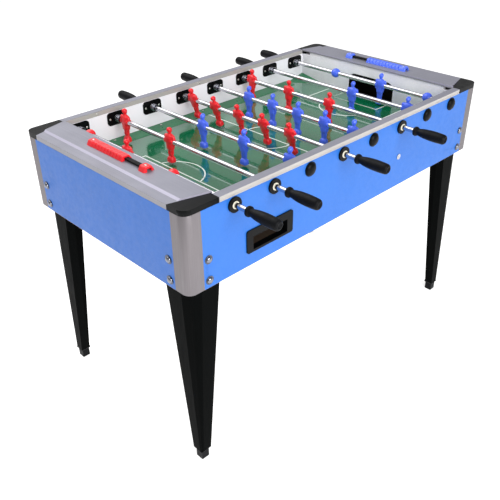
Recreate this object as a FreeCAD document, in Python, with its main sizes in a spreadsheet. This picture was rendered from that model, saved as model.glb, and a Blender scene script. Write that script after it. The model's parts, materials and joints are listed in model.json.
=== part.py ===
import FreeCAD, Part
import os
import Sketcher
from FreeCAD import Placement, Rotation, Vector

# A full-size foosball table with eight telescopic rods.
# Frame: origin on the floor under the middle of the table, X along the length,
# Y across it, Z up. The red team's handles are on the -Y side, the blue team's on +Y.
# All sizes are millimetres.

doc = FreeCAD.newDocument("FoosballTable")
sheet = doc.addObject("Spreadsheet::Sheet", "Sizes")

DRIVING_SIZES = (
    ("rod_pitch", 150.0, "between neighbouring rods"),
    ("keeper_gap", 53.0, "from a goalkeeper's rod to the goal wall"),
    ("wall_set_back", 4.0, "goal wall behind the inner edge of the end top"),
    ("pit_length", 81.0, "ball pit between a goal wall and an end panel"),
    ("cabinet_width", 775.0, "outside width of the cabinet"),
    ("top_level", 920.0, "top of the rails above the floor"),
    ("cabinet_height", 257.0, "from the top of the rails to the panels' lower edge"),
    ("cap_thick", 16.0, "depth of the corner caps and of the top rails"),
    ("board", 18.0, "thickness of the panels"),
    ("liner", 9.5, "extra thickness of the long panels above the field"),
    ("field_depth", 120.0, "playing surface below the top of the rails"),
    ("field_board", 10.0, "thickness of the playing board"),
    ("field_gap", 5.0, "from the playing board down to the lower edge of the walls"),
    ("post_cover", 55.5, "width of a corner post on each face"),
    ("corner_round", 26.0, "radius of the cabinet's upright corners"),
    ("cap_along", 119.0, "corner cap along the long side"),
    ("cap_across", 66.0, "corner cap along the short side"),
    ("cap_inner", 33.5, "width of a cap at its inner tip"),
    ("sheet_metal", 2.0, "wall of the aluminium side rail"),
    ("end_band", 30.5, "flat outer band of an end top"),
    ("end_bevel", 9.0, "sloping stripe beside the band"),
    ("end_step", 5.0, "height from the band up to the flat plate"),
    ("goal_width", 215.0, "goal mouth"),
    ("goal_height", 76.0, "goal mouth above the field"),
    ("goal_round", 30.0, "upper corners of the goal mouth"),
    ("strip_width", 45.0, "side strip of the field"),
    ("strip_rise", 8.5, "side strip at the wall"),
    ("strip_edge", 1.0, "side strip at its thin edge"),
    ("ramp_along", 95.0, "corner ramp along the wall"),
    ("ramp_across", 120.0, "corner ramp along the goal wall"),
    ("ramp_rise", 22.0, "corner ramp in the corner"),
    ("rod_depth", 40.0, "rod axis below the top of the rails"),
    ("tube_radius", 8.0, "outside of a rod tube"),
    ("core_radius", 6.0, "inner bar of a rod"),
    ("running_gap", 0.08, "radial play of a running fit"),
    ("seat_gap", 0.05, "radial play of a pressed seat"),
    ("bush_wall", 3.0, "wall of a tube's bush"),
    ("sleeve_wall", 5.0, "bearing sleeve round the bush"),
    ("sleeve_play", 0.4, "play of the sleeve in its hole"),
    ("cover_radius", 22.5, "outer flange of a bearing"),
    ("cover_thick", 6.0, "how far the flange stands off the panel"),
    ("dome_rise", 9.0, "dome of a blank bearing"),
    ("plate_wide", 78.0, "inner bearing plate along the table"),
    ("plate_tall", 46.0, "inner bearing plate upwards"),
    ("plate_thick", 4.0, "inner bearing plate"),
    ("plate_round", 12.0, "corners of the inner bearing plate"),
    ("plate_screws", 58.0, "between the two screws of a plate"),
    ("spring_length", 22.0, "buffer spring"),
    ("spring_play", 1.0, "between the buffer spring and the tube"),
    ("spring_wall", 4.0, "from the inside to the outside of the buffer spring"),
    ("stop_gap", 0.6, "left between a player and the spring at the stop"),
    ("shoulder_half", 25.5, "half of a player's width"),
    ("head_top", 45.0, "player's head above the rod"),
    ("foot_drop", 72.5, "player's feet below the rod"),
    ("stop_ball", 18.0, "radius of the goalkeeper's stop balls"),
    ("ball_pitch", 426.0, "between the two stop balls"),
    ("keeper_pitch", 207.0, "from the far stop ball to the goalkeeper"),
    ("keeper_spare", 23.4, "how far a goalkeeper's rod can still go in at rest"),
    ("pair_pitch", 240.0, "between two players of a pair"),
    ("trio_pitch", 195.0, "between two players of three"),
    ("five_pitch", 120.0, "between two players of five"),
    ("handle_gap", 49.5, "from the panel to the handle with the rod pushed in"),
    ("handle_length", 115.0, "handle"),
    ("handle_radius", 17.0, "handle at its widest"),
    ("grip_end", 10.0, "solid outer end of a handle"),
    ("core_overlap", 120.0, "inner bar inside the tube when the rod is pulled right out"),
    ("leg_top", 107.0, "side of a leg at the cabinet"),
    ("leg_foot", 39.0, "side of a leg at its lower end"),
    ("leg_end", 39.0, "lower end of a leg above the floor"),
    ("leg_arm", 30.0, "thickness of the two arms of a leg"),
    ("leg_inset", 19.5, "lower end of a leg in from the cabinet's faces"),
    ("leg_round", 42.0, "cut off the outer corner of a leg at the cabinet"),
    ("leg_rise", 115.0, "leg inside the cabinet"),
    ("leg_clear", 5.0, "between a leg and the ball return boards"),
    ("foot_side", 28.0, "levelling foot"),
    ("foot_block", 30.0, "levelling foot below its collar"),
    ("stem_radius", 6.0, "threaded stem of a foot"),
    ("bolt_in_x", 73.5, "leg bolts in from the cabinet's end"),
    ("bolt_in_y", 76.0, "leg bolts in from the cabinet's side"),
    ("bolt_low", 24.0, "lower bolts above the cabinet's lower edge"),
    ("bolt_high", 89.5, "upper bolts above the cabinet's lower edge"),
    ("bolt_radius", 4.0, "shank of a leg bolt"),
    ("bolt_reach", 22.0, "leg bolt inside the leg"),
    ("washer_radius", 13.0, "washer of a leg bolt"),
    ("washer_thick", 1.6, "washer of a leg bolt"),
    ("dome_head", 9.5, "radius of a bolt head"),
    ("slot_x", -391.0, "middle of the ball slot"),
    ("slot_depth", 206.0, "floor of the ball slot below the top of the rails"),
    ("slot_wide", 138.0, "ball slot opening"),
    ("slot_tall", 41.0, "ball slot opening"),
    ("slot_sleeve", 3.5, "wall of the ball slot's sleeve"),
    ("slot_border", 24.0, "frame of the ball slot at its sides and top"),
    ("slot_sill", 8.0, "frame of the ball slot below the opening"),
    ("slot_proud", 4.0, "frame of the ball slot off the panel"),
    ("chute_board", 8.0, "ball return board"),
    ("chute_fall", 16.0, "fall of the ball return from the far goal"),
    ("lock_x", 228.0, "cam lock along the table"),
    ("lock_depth", 147.0, "cam lock below the top of the rails"),
    ("lock_radius", 8.0, "barrel of the lock"),
    ("lock_flange", 9.5, "flange of the lock"),
    ("plug_radius", 5.0, "turning plug of the lock"),
    ("score_in", 40.0, "middle of a score rack from the inner edge of the end top"),
    ("score_start", 136.0, "far end of a score rack"),
    ("bracket_long", 30.0, "bracket of a score rack"),
    ("counter_pitch", 15.0, "from one counter to the next"),
    ("counter_free", 74.0, "bar left free in a score rack"),
    ("counter_wide", 37.0, "counters and brackets across"),
    ("counter_crown", 20.0, "counters and brackets across their top"),
    ("counter_tall", 15.0, "counters and brackets upwards"),
    ("score_bar_wide", 14.0, "bar of a score rack"),
    ("score_bar_tall", 5.0, "bar of a score rack"),
    ("score_bar_lift", 4.0, "underside of the bar above the plate"),
    ("slide_gap", 0.4, "play between a counter and what it slides on"),
    ("screw_head", 4.0, "radius of a small screw's head"),
    ("screw_rise", 1.8, "height of a small screw's head"),
)

COUNTERS = 10


class Size:
    """A number together with the spreadsheet formula that gives it."""

    def __init__(self, value, formula):
        self.value = value
        self.formula = formula

    def __add__(self, other):
        other = as_size(other)
        return Size(self.value + other.value, "(%s + %s)" % (self.formula, other.formula))

    def __sub__(self, other):
        other = as_size(other)
        return Size(self.value - other.value, "(%s - %s)" % (self.formula, other.formula))

    def __mul__(self, other):
        other = as_size(other)
        return Size(self.value * other.value, "(%s * %s)" % (self.formula, other.formula))

    def __truediv__(self, other):
        other = as_size(other)
        return Size(self.value / other.value, "(%s / %s)" % (self.formula, other.formula))

    def __rsub__(self, other):
        return as_size(other) - self

    def __neg__(self):
        return as_size(0) - self

    __radd__ = __add__
    __rmul__ = __mul__


def as_size(amount):
    return amount if isinstance(amount, Size) else Size(amount, "%.9g" % amount)


class Table:
    """The driving sizes by name."""


table = Table()
for row, (alias, number, meaning) in enumerate(DRIVING_SIZES, start=1):
    sheet.set("A%d" % row, "%g" % number)
    sheet.setAlias("A%d" % row, alias)
    sheet.set("B%d" % row, meaning)
    setattr(table, alias, Size(number, "Sizes." + alias))
doc.recompute()

# Places that several pieces share.
RODS_IN_ALL = 8
field_half = table.rod_pitch * (RODS_IN_ALL - 1) / 2 + table.keeper_gap
goal_back = field_half + table.board
end_inside = goal_back + table.pit_length
half_length = end_inside + table.board
half_width = table.cabinet_width / 2
side_inside = half_width - table.board
field_side = side_inside - table.liner
cabinet_bottom = table.top_level - table.cabinet_height
wall_top = table.top_level - table.cap_thick
field_level = table.top_level - table.field_depth
rod_level = table.top_level - table.rod_depth
slot_low = table.top_level - table.slot_depth
lock_level = table.top_level - table.lock_depth
wall_foot = field_level - table.field_board - table.field_gap
plate_level = table.top_level + table.end_step
plate_under = table.top_level - table.sheet_metal * 2
end_top_inner = field_half - table.wall_set_back
score_x = end_top_inner + table.score_in
spring_face = field_side - table.plate_thick - table.spring_length
bush_radius = table.tube_radius + table.bush_wall
sleeve_radius = bush_radius + table.sleeve_wall

# One row for each rod, from the left: team side (-1 red, +1 blue), players, pitch of the
# players (or of the goalkeeper's stop balls), and how far the players lean at rest.
RODS = (
    (-1, 1, table.ball_pitch, 0),
    (-1, 2, table.pair_pitch, 0),
    (+1, 3, table.trio_pitch, 0),
    (-1, 5, table.five_pitch, 15),
    (+1, 5, table.five_pitch, 0),
    (-1, 3, table.trio_pitch, 0),
    (+1, 2, table.pair_pitch, 0),
    (+1, 1, table.ball_pitch, 0),
)

TOWARD = {
    "+x": Rotation(Vector(0, 1, 0), 90),
    "-x": Rotation(Vector(0, 1, 0), -90),
    "+y": Rotation(Vector(1, 0, 0), -90),
    "-y": Rotation(Vector(1, 0, 0), 90),
    "+z": Rotation(),
    "-z": Rotation(Vector(1, 0, 0), 180),
}
SIDE_WORD = {-1: "-y", +1: "+y"}


def bind(thing, prop, amount):
    thing.setExpression(prop, as_size(amount).formula)


def primitive(kind, name, sizes, at, toward="+z"):
    """A Part primitive whose own axis points the given way."""
    piece = doc.addObject("Part::" + kind, name)
    piece.Placement = Placement(Vector(), TOWARD[toward])
    for prop, amount in sizes.items():
        bind(piece, prop, amount)
    for axis, amount in zip("xyz", at):
        bind(piece, "Placement.Base." + axis, amount)
    return piece


def block(name, low, high):
    sizes = {prop: high[i] - low[i] for i, prop in enumerate(("Length", "Width", "Height"))}
    return primitive("Box", name, sizes, low)


def bar(name, radius, start, end, x=0, z=0):
    """A round bar along Y."""
    low, high = sorted((as_size(start), as_size(end)), key=lambda place: place.value)
    return primitive("Cylinder", name, {"Radius": radius, "Height": high - low}, (x, low, z), "+y")


def cut(name, base, tool):
    piece = doc.addObject("Part::Cut", name)
    piece.Base = base
    piece.Tool = tool
    return piece


def fuse(name, shapes):
    piece = doc.addObject("Part::MultiFuse", name)
    piece.Shapes = shapes
    return piece


def ring(name, radius, bore, start, end, x=0, z=0):
    outside = bar(name + "_outside", radius, start, end, x, z)
    inside = bar(name + "_inside", bore, start, end, x, z)
    return cut(name, outside, inside)


def group(name, pieces):
    compound = doc.addObject("Part::Compound", name)
    compound.Links = pieces
    return compound


def mirrored(name, source, normal):
    piece = doc.addObject("Part::Mirroring", name)
    piece.Source = source
    piece.Normal = normal
    return piece


def across(name, source):
    return mirrored(name, source, Vector(0, 1, 0))


def along(name, source):
    return mirrored(name, source, Vector(1, 0, 0))


def four_corners(name, source):
    """The piece of the +X +Y corner, repeated at all four corners."""
    second = across(name + "_2", source)
    third = along(name + "_3", source)
    fourth = along(name + "_4", second)
    return group(name, [source, second, third, fourth])


def origin_feature(body, role):
    return next(item for item in body.Origin.OriginFeatures if item.Role == role)


def new_sketch(body, name, role, lift=0):
    sketch = body.newObject("Sketcher::SketchObject", name)
    sketch.AttachmentSupport = [(origin_feature(body, role), "")]
    sketch.MapMode = "FlatFace"
    bind(sketch, "AttachmentOffset.Base.z", lift)
    return sketch


def outline(sketch, points):
    """A closed polygon whose corners are held by the given places."""
    first = sketch.GeometryCount
    places = [(as_size(u), as_size(v)) for u, v in points]
    count = len(places)
    for i, (u, v) in enumerate(places):
        next_u, next_v = places[(i + 1) % count]
        start = Vector(u.value, v.value, 0)
        end = Vector(next_u.value, next_v.value, 0)
        sketch.addGeometry(Part.LineSegment(start, end), False)
    for i in range(count):
        after = first + (i + 1) % count
        sketch.addConstraint(Sketcher.Constraint("Coincident", first + i, 2, after, 1))
    for i, (u, v) in enumerate(places):
        for kind, amount in (("DistanceX", u), ("DistanceY", v)):
            rule = Sketcher.Constraint(kind, -1, 1, first + i, 1, float(amount.value))
            number = sketch.addConstraint(rule)
            bind(sketch, "Constraints[%d]" % number, amount)


def circle(sketch, u, v, radius):
    u, v, radius = as_size(u), as_size(v), as_size(radius)
    middle = Vector(u.value, v.value, 0)
    item = sketch.addGeometry(Part.Circle(middle, Vector(0, 0, 1), radius.value), False)
    for kind, amount in (("DistanceX", u), ("DistanceY", v)):
        number = sketch.addConstraint(Sketcher.Constraint(kind, -1, 1, item, 3, float(amount.value)))
        bind(sketch, "Constraints[%d]" % number, amount)
    number = sketch.addConstraint(Sketcher.Constraint("Radius", item, float(radius.value)))
    bind(sketch, "Constraints[%d]" % number, radius)


def rectangle(sketch, low_u, high_u, low_v, high_v):
    outline(sketch, [(low_u, low_v), (high_u, low_v), (high_u, high_v), (low_u, high_v)])


def pad(body, sketch, name, length, back=False, both=False):
    feature = body.newObject("PartDesign::Pad", name)
    feature.Profile = sketch
    bind(feature, "Length", length)
    feature.Reversed = back
    feature.SideType = "Symmetric" if both else "One side"
    return feature


def pocket(body, sketch, name):
    """A cut right through the body, to both sides of the sketch."""
    feature = body.newObject("PartDesign::Pocket", name)
    feature.Profile = sketch
    feature.Type = "ThroughAll"
    feature.SideType = "Symmetric"
    return feature


def round_edges(body, base, name, radius, wanted):
    """Rounds the straight edges of a feature that the test picks."""
    doc.recompute()
    names = []
    for number, edge in enumerate(base.Shape.Edges, start=1):
        if isinstance(edge.Curve, Part.Line) and wanted(edge):
            names.append("Edge%d" % number)
    feature = body.newObject("PartDesign::Fillet", name)
    feature.Base = (base, names)
    bind(feature, "Radius", radius)
    body.Tip = feature
    return feature


def runs_along(edge, axis):
    """Whether an edge is parallel to an axis."""
    direction = edge.Vertexes[-1].Point - edge.Vertexes[0].Point
    return abs(direction.normalize().dot(axis)) > 0.999


def lock_hole(sketch):
    circle(sketch, table.lock_x, lock_level, table.lock_radius + table.sleeve_play)


def slot_hole(sketch):
    reach = table.slot_wide / 2 + table.slot_sleeve + table.sleeve_play
    low = slot_low - table.slot_sleeve - table.sleeve_play
    high = slot_low + table.slot_tall + table.slot_sleeve + table.sleeve_play
    rectangle(sketch, table.slot_x - reach, table.slot_x + reach, low, high)


def rod_x(number):
    """Place of a rod along the table, counted from 0 at the left."""
    return table.rod_pitch * (number - (RODS_IN_ALL - 1) / 2)


def long_panel(name, y, extra_holes):
    """A blue long panel: a full board with a thicker upper part beside the field."""
    body = doc.addObject("PartDesign::Body", name)
    bind(body, "Placement.Base.y", y)
    board_half = half_length - table.post_cover
    face = new_sketch(body, name + "_face", "XZ_Plane")
    rectangle(face, -board_half, board_half, cabinet_bottom, wall_top)
    pad(body, face, name + "_board", table.board)
    upper = new_sketch(body, name + "_upper", "XZ_Plane")
    rectangle(upper, -goal_back, goal_back, wall_foot, wall_top)
    pad(body, upper, name + "_liner", table.liner, back=True)
    holes = new_sketch(body, name + "_holes", "XZ_Plane")
    for number in range(len(RODS)):
        circle(holes, rod_x(number), rod_level, sleeve_radius + table.sleeve_play)
    for end in (-1, 1):
        for level in (table.bolt_low, table.bolt_high):
            bolt_x = (half_length - table.bolt_in_x) * end
            radius = table.bolt_radius + table.sleeve_play
            circle(holes, bolt_x, cabinet_bottom + level, radius)
    for add_hole in extra_holes:
        add_hole(holes)
    pocket(body, holes, name + "_drilled")
    return body


def make_panels():
    near = long_panel("near_panel", -side_inside, (slot_hole, lock_hole))
    far_source = long_panel("far_board", -side_inside, ())
    far = across("far_panel", far_source)
    end_reach = half_width - table.post_cover
    low = (end_inside, -end_reach, cabinet_bottom)
    board = block("end_board", low, (half_length, end_reach, wall_top))
    drills = []
    for side in (-1, 1):
        for level, height in (("low", table.bolt_low), ("high", table.bolt_high)):
            at = (end_inside, (half_width - table.bolt_in_y) * side, cabinet_bottom + height)
            sizes = {"Radius": table.bolt_radius + table.sleeve_play, "Height": table.board}
            drills.append(primitive("Cylinder", "end_drill_%s_%d" % (level, side), sizes, at, "+x"))
    right = cut("right_end_panel", board, fuse("end_drills", drills))
    left = along("left_end_panel", right)
    return [near, group("outer_panels", [far, right, left])]


def make_corner_posts():
    body = doc.addObject("PartDesign::Body", "post")
    section = new_sketch(body, "post_section", "XY_Plane", cabinet_bottom)
    edge_x = half_length - table.post_cover
    edge_y = half_width - table.post_cover
    outline(section, [
        (half_length, half_width), (edge_x, half_width), (edge_x, side_inside),
        (end_inside, side_inside), (end_inside, edge_y), (half_length, edge_y),
    ])
    length = pad(body, section, "post_length", wall_top - cabinet_bottom)

    def is_outer(edge):
        place = edge.CenterOfMass
        far_out = place.x > half_length.value - 1 and place.y > half_width.value - 1
        return far_out and runs_along(edge, Vector(0, 0, 1))

    round_edges(body, length, "post_round", table.corner_round, is_outer)
    return four_corners("corner_posts", body)


def cap_tip():
    """Inner tip of a corner cap."""
    return half_length - table.cap_along, half_width - table.cap_inner


def make_corner_caps():
    body = doc.addObject("PartDesign::Body", "cap")
    plan = new_sketch(body, "cap_plan", "XY_Plane", wall_top)
    tip_x, tip_y = cap_tip()
    outline(plan, [
        (half_length, half_width), (half_length, half_width - table.cap_across),
        (tip_x, tip_y), (half_length - table.cap_along, half_width),
    ])
    slab = pad(body, plan, "cap_slab", table.cap_thick)

    def is_outer(edge):
        place = edge.CenterOfMass
        far_out = place.x > half_length.value - 1 and place.y > half_width.value - 1
        return far_out and runs_along(edge, Vector(0, 0, 1))

    round_edges(body, slab, "cap_round", table.corner_round, is_outer)
    return four_corners("corner_caps", body)


def make_top_rails():
    rail = doc.addObject("PartDesign::Body", "side_rail")
    section = new_sketch(rail, "rail_section", "YZ_Plane")
    skin = table.sheet_metal
    groove = table.cap_thick / 4
    outline(section, [
        (half_width, wall_top), (half_width, wall_top + groove), (half_width - skin / 2, wall_top + groove),
        (half_width - skin / 2, wall_top + groove * 2), (half_width, wall_top + groove * 2),
        (half_width, table.top_level), (field_side, table.top_level), (field_side, wall_top),
        (field_side + skin, wall_top), (field_side + skin, table.top_level - skin),
        (half_width - skin, table.top_level - skin), (half_width - skin, wall_top),
    ])
    pad(rail, section, "rail_length", (half_length - table.cap_along) * 2, both=True)

    top = doc.addObject("PartDesign::Body", "end_top")
    profile = new_sketch(top, "end_profile", "XZ_Plane")
    band_in = half_length - table.end_band
    bevel_in = band_in - table.end_bevel
    outline(profile, [
        (half_length, wall_top), (half_length, table.top_level), (band_in, table.top_level),
        (bevel_in, plate_level), (end_top_inner, plate_level), (end_top_inner, plate_under),
        (end_inside, plate_under), (end_inside, wall_top),
    ])
    pad(top, profile, "end_length", field_side * 2, both=True)
    ends = new_sketch(top, "end_corners", "XY_Plane")
    tip_x, tip_y = cap_tip()
    slope = (half_width - table.cap_across - tip_y) / (half_length - tip_x)
    spare = table.cap_thick
    for side in (-1, 1):
        outline(ends, [
            (half_length + spare, (half_width - table.cap_across + slope * spare) * side),
            (tip_x, tip_y * side), (tip_x, (field_side + spare) * side),
            (half_length + spare, (field_side + spare) * side),
        ])
    pocket(top, ends, "end_mitres")
    pieces = [rail, across("far_rail", rail), top, along("left_end_top", top)]
    return group("top_rails", pieces)


def make_goal_walls():
    body = doc.addObject("PartDesign::Body", "goal_wall")
    bind(body, "Placement.Base.x", field_half)
    face = new_sketch(body, "goal_face", "YZ_Plane")
    shoulder = half_width - table.cap_across
    outline(face, [
        (-field_side, wall_foot), (field_side, wall_foot), (field_side, wall_top),
        (shoulder, wall_top), (shoulder, plate_under), (-shoulder, plate_under),
        (-shoulder, wall_top), (-field_side, wall_top),
    ])
    pad(body, face, "goal_board", table.board)
    opening = new_sketch(body, "goal_opening", "YZ_Plane")
    half = table.goal_width / 2
    top = field_level + table.goal_height
    rectangle(opening, -half, half, field_level, top)
    mouth = pocket(body, opening, "goal_mouth")

    def is_upper_corner(edge):
        place = edge.CenterOfMass
        inside = abs(place.y) < half.value + 1 and abs(place.z - top.value) < 1
        return inside and runs_along(edge, Vector(1, 0, 0))

    round_edges(body, mouth, "goal_rounds", table.goal_round, is_upper_corner)
    return group("goal_walls", [body, along("left_goal_wall", body)])


def make_playfield():
    low = (-field_half, -field_side, field_level - table.field_board)
    return block("playfield", low, (field_half, field_side, field_level))


def make_field_ramps():
    """Side strips along both long walls and a sloping wedge in each corner."""
    strip = doc.addObject("PartDesign::Body", "side_strip")
    section = new_sketch(strip, "strip_section", "YZ_Plane")
    outline(section, [
        (field_side, field_level), (field_side, field_level + table.strip_rise),
        (field_side - table.strip_width, field_level + table.strip_edge),
        (field_side - table.strip_width, field_level),
    ])
    pad(strip, section, "strip_length", (field_half - table.ramp_along) * 2, both=True)

    # A corner wedge is a tetrahedron: none of its slopes is square to an origin plane.
    corner = Vector(field_half.value, field_side.value, field_level.value)
    beside = corner - Vector(table.ramp_along.value, 0, 0)
    below = corner - Vector(0, table.ramp_across.value, 0)
    peak = corner + Vector(0, 0, table.ramp_rise.value)
    faces = []
    for points in ((corner, beside, below), (corner, beside, peak), (corner, below, peak),
                   (beside, below, peak)):
        faces.append(Part.Face(Part.makePolygon(list(points) + [points[0]])))
    wedge = doc.addObject("Part::Feature", "corner_ramp")
    wedge.Shape = Part.makeSolid(Part.makeShell(faces))
    pieces = [strip, across("far_strip", strip), four_corners("corner_ramps", wedge)]
    return group("field_ramps", pieces)


def make_return_board():
    """Sloping boards that bring the ball from either goal to the slot."""
    board = doc.addObject("PartDesign::Body", "return_slope")
    section = new_sketch(board, "return_section", "XZ_Plane")
    board_end = end_inside - table.leg_top - table.leg_clear
    flat_left = table.slot_x - table.slot_wide / 2
    flat_right = table.slot_x + table.slot_wide / 2
    low = slot_low
    right_top = low + table.chute_fall
    left_top = low + table.chute_fall / 2
    thick = table.chute_board
    outline(section, [
        (-board_end, left_top), (flat_left, low), (flat_right, low), (board_end, right_top),
        (board_end, right_top - thick), (flat_right, low - thick), (flat_left, low - thick),
        (-board_end, left_top - thick),
    ])
    pad(board, section, "return_length", side_inside * 2, both=True)
    reach = side_inside - table.leg_top - table.leg_clear
    pieces = [board]
    for name, end, top in (("left_chute", -1, left_top), ("right_chute", 1, right_top)):
        chute = doc.addObject("PartDesign::Body", name)
        side = new_sketch(chute, name + "_section", "XZ_Plane")
        rise = table.chute_fall / 4
        outline(side, [
            (board_end * end, top), (end_inside * end, top + rise),
            (end_inside * end, top + rise - thick), (board_end * end, top - thick),
        ])
        pad(chute, side, name + "_length", reach * 2, both=True)
        pieces.append(chute)
    return group("return_board", pieces)


def make_ball_slot_frame():
    body = doc.addObject("PartDesign::Body", "ball_slot_frame")
    bind(body, "Placement.Base.y", -half_width)
    half = table.slot_wide / 2
    high = slot_low + table.slot_tall
    frame = new_sketch(body, "slot_border_plan", "XZ_Plane")
    reach = half + table.slot_border
    rectangle(frame, table.slot_x - reach, table.slot_x + reach,
              slot_low - table.slot_sill, high + table.slot_border)
    pad(body, frame, "slot_flange", table.slot_proud)
    tube = new_sketch(body, "slot_sleeve_plan", "XZ_Plane")
    sleeve = half + table.slot_sleeve
    rectangle(tube, table.slot_x - sleeve, table.slot_x + sleeve,
              slot_low - table.slot_sleeve, high + table.slot_sleeve)
    pad(body, tube, "slot_tunnel", table.board, back=True)
    opening = new_sketch(body, "slot_opening_plan", "XZ_Plane")
    rectangle(opening, table.slot_x - half, table.slot_x + half, slot_low, high)
    mouth = pocket(body, opening, "slot_mouth")

    def is_flange_corner(edge):
        place = edge.CenterOfMass
        beside = abs(abs(place.x - table.slot_x.value) - reach.value) < 1
        return beside and runs_along(edge, Vector(0, 1, 0))

    round_edges(body, mouth, "slot_rounds", table.slot_sill, is_flange_corner)
    return body


def make_lock():
    x, level = table.lock_x, lock_level
    flange_face = -half_width - table.sheet_metal
    barrel = bar("lock_barrel", table.lock_radius, -half_width, -side_inside, x, level)
    flange = bar("lock_rim", table.lock_flange, flange_face, -half_width, x, level)
    bore = bar("lock_bore", table.plug_radius + table.running_gap, flange_face, -side_inside, x, level)
    housing = cut("lock_housing", fuse("lock_solid", [barrel, flange]), bore)
    cam_start = -side_inside + table.stop_gap
    cam_end = cam_start + table.sheet_metal
    plug = bar("lock_core", table.plug_radius, flange_face, cam_end, x, level)
    cam_reach = table.plug_radius * 4
    cam_low = (x - table.plug_radius, cam_start, level - cam_reach)
    cam = block("lock_cam", cam_low, (x + table.plug_radius, cam_end, level))
    key_half = table.sheet_metal / 4
    key_low = (x - key_half, flange_face, level - table.plug_radius / 2)
    key_high = (x + key_half, flange_face + table.sheet_metal * 2, level + table.plug_radius / 2)
    keyway = block("lock_keyway", key_low, key_high)
    return [housing, cut("lock_plug", fuse("lock_plug_solid", [plug, cam]), keyway)]


def bolt_places():
    """Each leg bolt of the +X +Y corner: name, point on the panel's face, way it points."""
    across_x = half_length - table.bolt_in_x
    across_y = half_width - table.bolt_in_y
    for word, height in (("low", table.bolt_low), ("high", table.bolt_high)):
        level = cabinet_bottom + height
        yield "side_" + word, (across_x, half_width, level), "+y"
        yield "end_" + word, (half_length, across_y, level), "+x"


def shifted(at, toward, distance):
    """A point moved along one of the six directions."""
    axis = "xyz".index(toward[1])
    sign = 1 if toward[0] == "+" else -1
    return tuple(place + distance * sign if i == axis else place for i, place in enumerate(at))


def make_leg_bolts():
    pieces = []
    deep = table.board + table.bolt_reach
    for word, at, toward in bolt_places():
        start = shifted(at, toward, -deep)
        long = {"Radius": table.bolt_radius, "Height": deep + table.washer_thick}
        shank = primitive("Cylinder", "shank_" + word, long, start, toward)
        seat = shifted(at, toward, table.washer_thick)
        dome = {"Radius1": table.dome_head * 0.65, "Radius2": table.dome_head, "Angle1": 0}
        head = primitive("Ellipsoid", "bolt_head_" + word, dome, seat, toward)
        pieces.append(fuse("bolt_" + word, [shank, head]))
        flat = {"Radius": table.washer_radius, "Height": table.washer_thick}
        disc = primitive("Cylinder", "washer_disc_" + word, flat, at, toward)
        hole = {"Radius": table.bolt_radius, "Height": table.washer_thick}
        pieces.append(cut("washer_" + word, disc,
                          primitive("Cylinder", "washer_hole_" + word, hole, at, toward)))
    return four_corners("leg_bolts", group("corner_bolts", pieces))


def leg_section(sketch, out_x, out_y, side, cut_off):
    """Two arms at a right angle, with the outer corner cut off in two flats."""
    arm = table.leg_arm
    middle = cut_off * 0.293
    outline(sketch, [
        (out_x - side, out_y), (out_x - cut_off, out_y), (out_x - middle, out_y - middle),
        (out_x, out_y - cut_off), (out_x, out_y - side), (out_x - arm, out_y - side),
        (out_x - arm, out_y - arm), (out_x - side, out_y - arm),
    ])


def make_legs():
    body = doc.addObject("PartDesign::Body", "leg_blank")
    top = new_sketch(body, "leg_top_plan", "XY_Plane", cabinet_bottom)
    leg_section(top, end_inside, side_inside, table.leg_top, table.leg_round)
    pad(body, top, "leg_upper", table.leg_rise)
    foot = new_sketch(body, "leg_foot_plan", "XY_Plane", table.leg_end)
    out_x = half_length - table.leg_inset
    out_y = half_width - table.leg_inset
    leg_section(foot, out_x, out_y, table.leg_foot, table.leg_round * 0.2)
    taper = body.newObject("PartDesign::AdditiveLoft", "leg_taper")
    taper.Profile = top
    taper.Sections = [foot]
    taper.Ruled = True
    body.Tip = taper
    drills = []
    for word, at, toward in bolt_places():
        start = shifted(at, toward, -(table.board + table.bolt_reach))
        sizes = {"Radius": table.bolt_radius, "Height": table.bolt_reach}
        drills.append(primitive("Cylinder", "leg_drill_" + word, sizes, start, toward))
    stem_bore = {"Radius": table.stem_radius + table.running_gap, "Height": table.leg_end * 2}
    middle = (out_x - table.leg_foot / 2, out_y - table.leg_foot / 2, table.leg_end)
    drills.append(primitive("Cylinder", "stem_bore", stem_bore, middle))
    leg = cut("leg", body, fuse("leg_drills", drills))
    return four_corners("legs", leg)


def make_feet():
    """Levelling feet: a square block, a collar up to the leg, and a threaded stem."""
    x = half_length - table.leg_inset - table.leg_foot / 2
    y = half_width - table.leg_inset - table.leg_foot / 2
    half = table.foot_side / 2
    wide = table.leg_foot / 2 - table.seat_gap
    collar_top = table.leg_end - table.slide_gap
    pieces = []
    for name, end, side in (("foot_near_left", -1, -1), ("foot_near_right", 1, -1),
                            ("foot_far_left", -1, 1), ("foot_far_right", 1, 1)):
        at_x, at_y = x * end, y * side
        low = (at_x - half, at_y - half, as_size(0))
        shoe = block(name + "_shoe", low, (at_x + half, at_y + half, table.foot_block))
        collar = doc.addObject("Part::Wedge", name + "_collar")
        collar.Placement = Placement(Vector(), Rotation(Vector(1, 0, 0), 90))
        for prop, amount in (("Xmin", -half), ("Xmax", half), ("Zmin", -half), ("Zmax", half),
                             ("X2min", -wide), ("X2max", wide), ("Z2min", -wide),
                             ("Z2max", wide), ("Ymin", 0), ("Ymax", collar_top - table.foot_block)):
            bind(collar, prop, amount)
        for axis, amount in zip("xyz", (at_x, at_y, table.foot_block)):
            bind(collar, "Placement.Base." + axis, amount)
        long = {"Radius": table.stem_radius, "Height": table.leg_end * 1.7}
        stem = primitive("Cylinder", name + "_stem", long, (at_x, at_y, table.foot_block))
        pieces.append(fuse(name, [shoe, collar, stem]))
    return pieces


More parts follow.
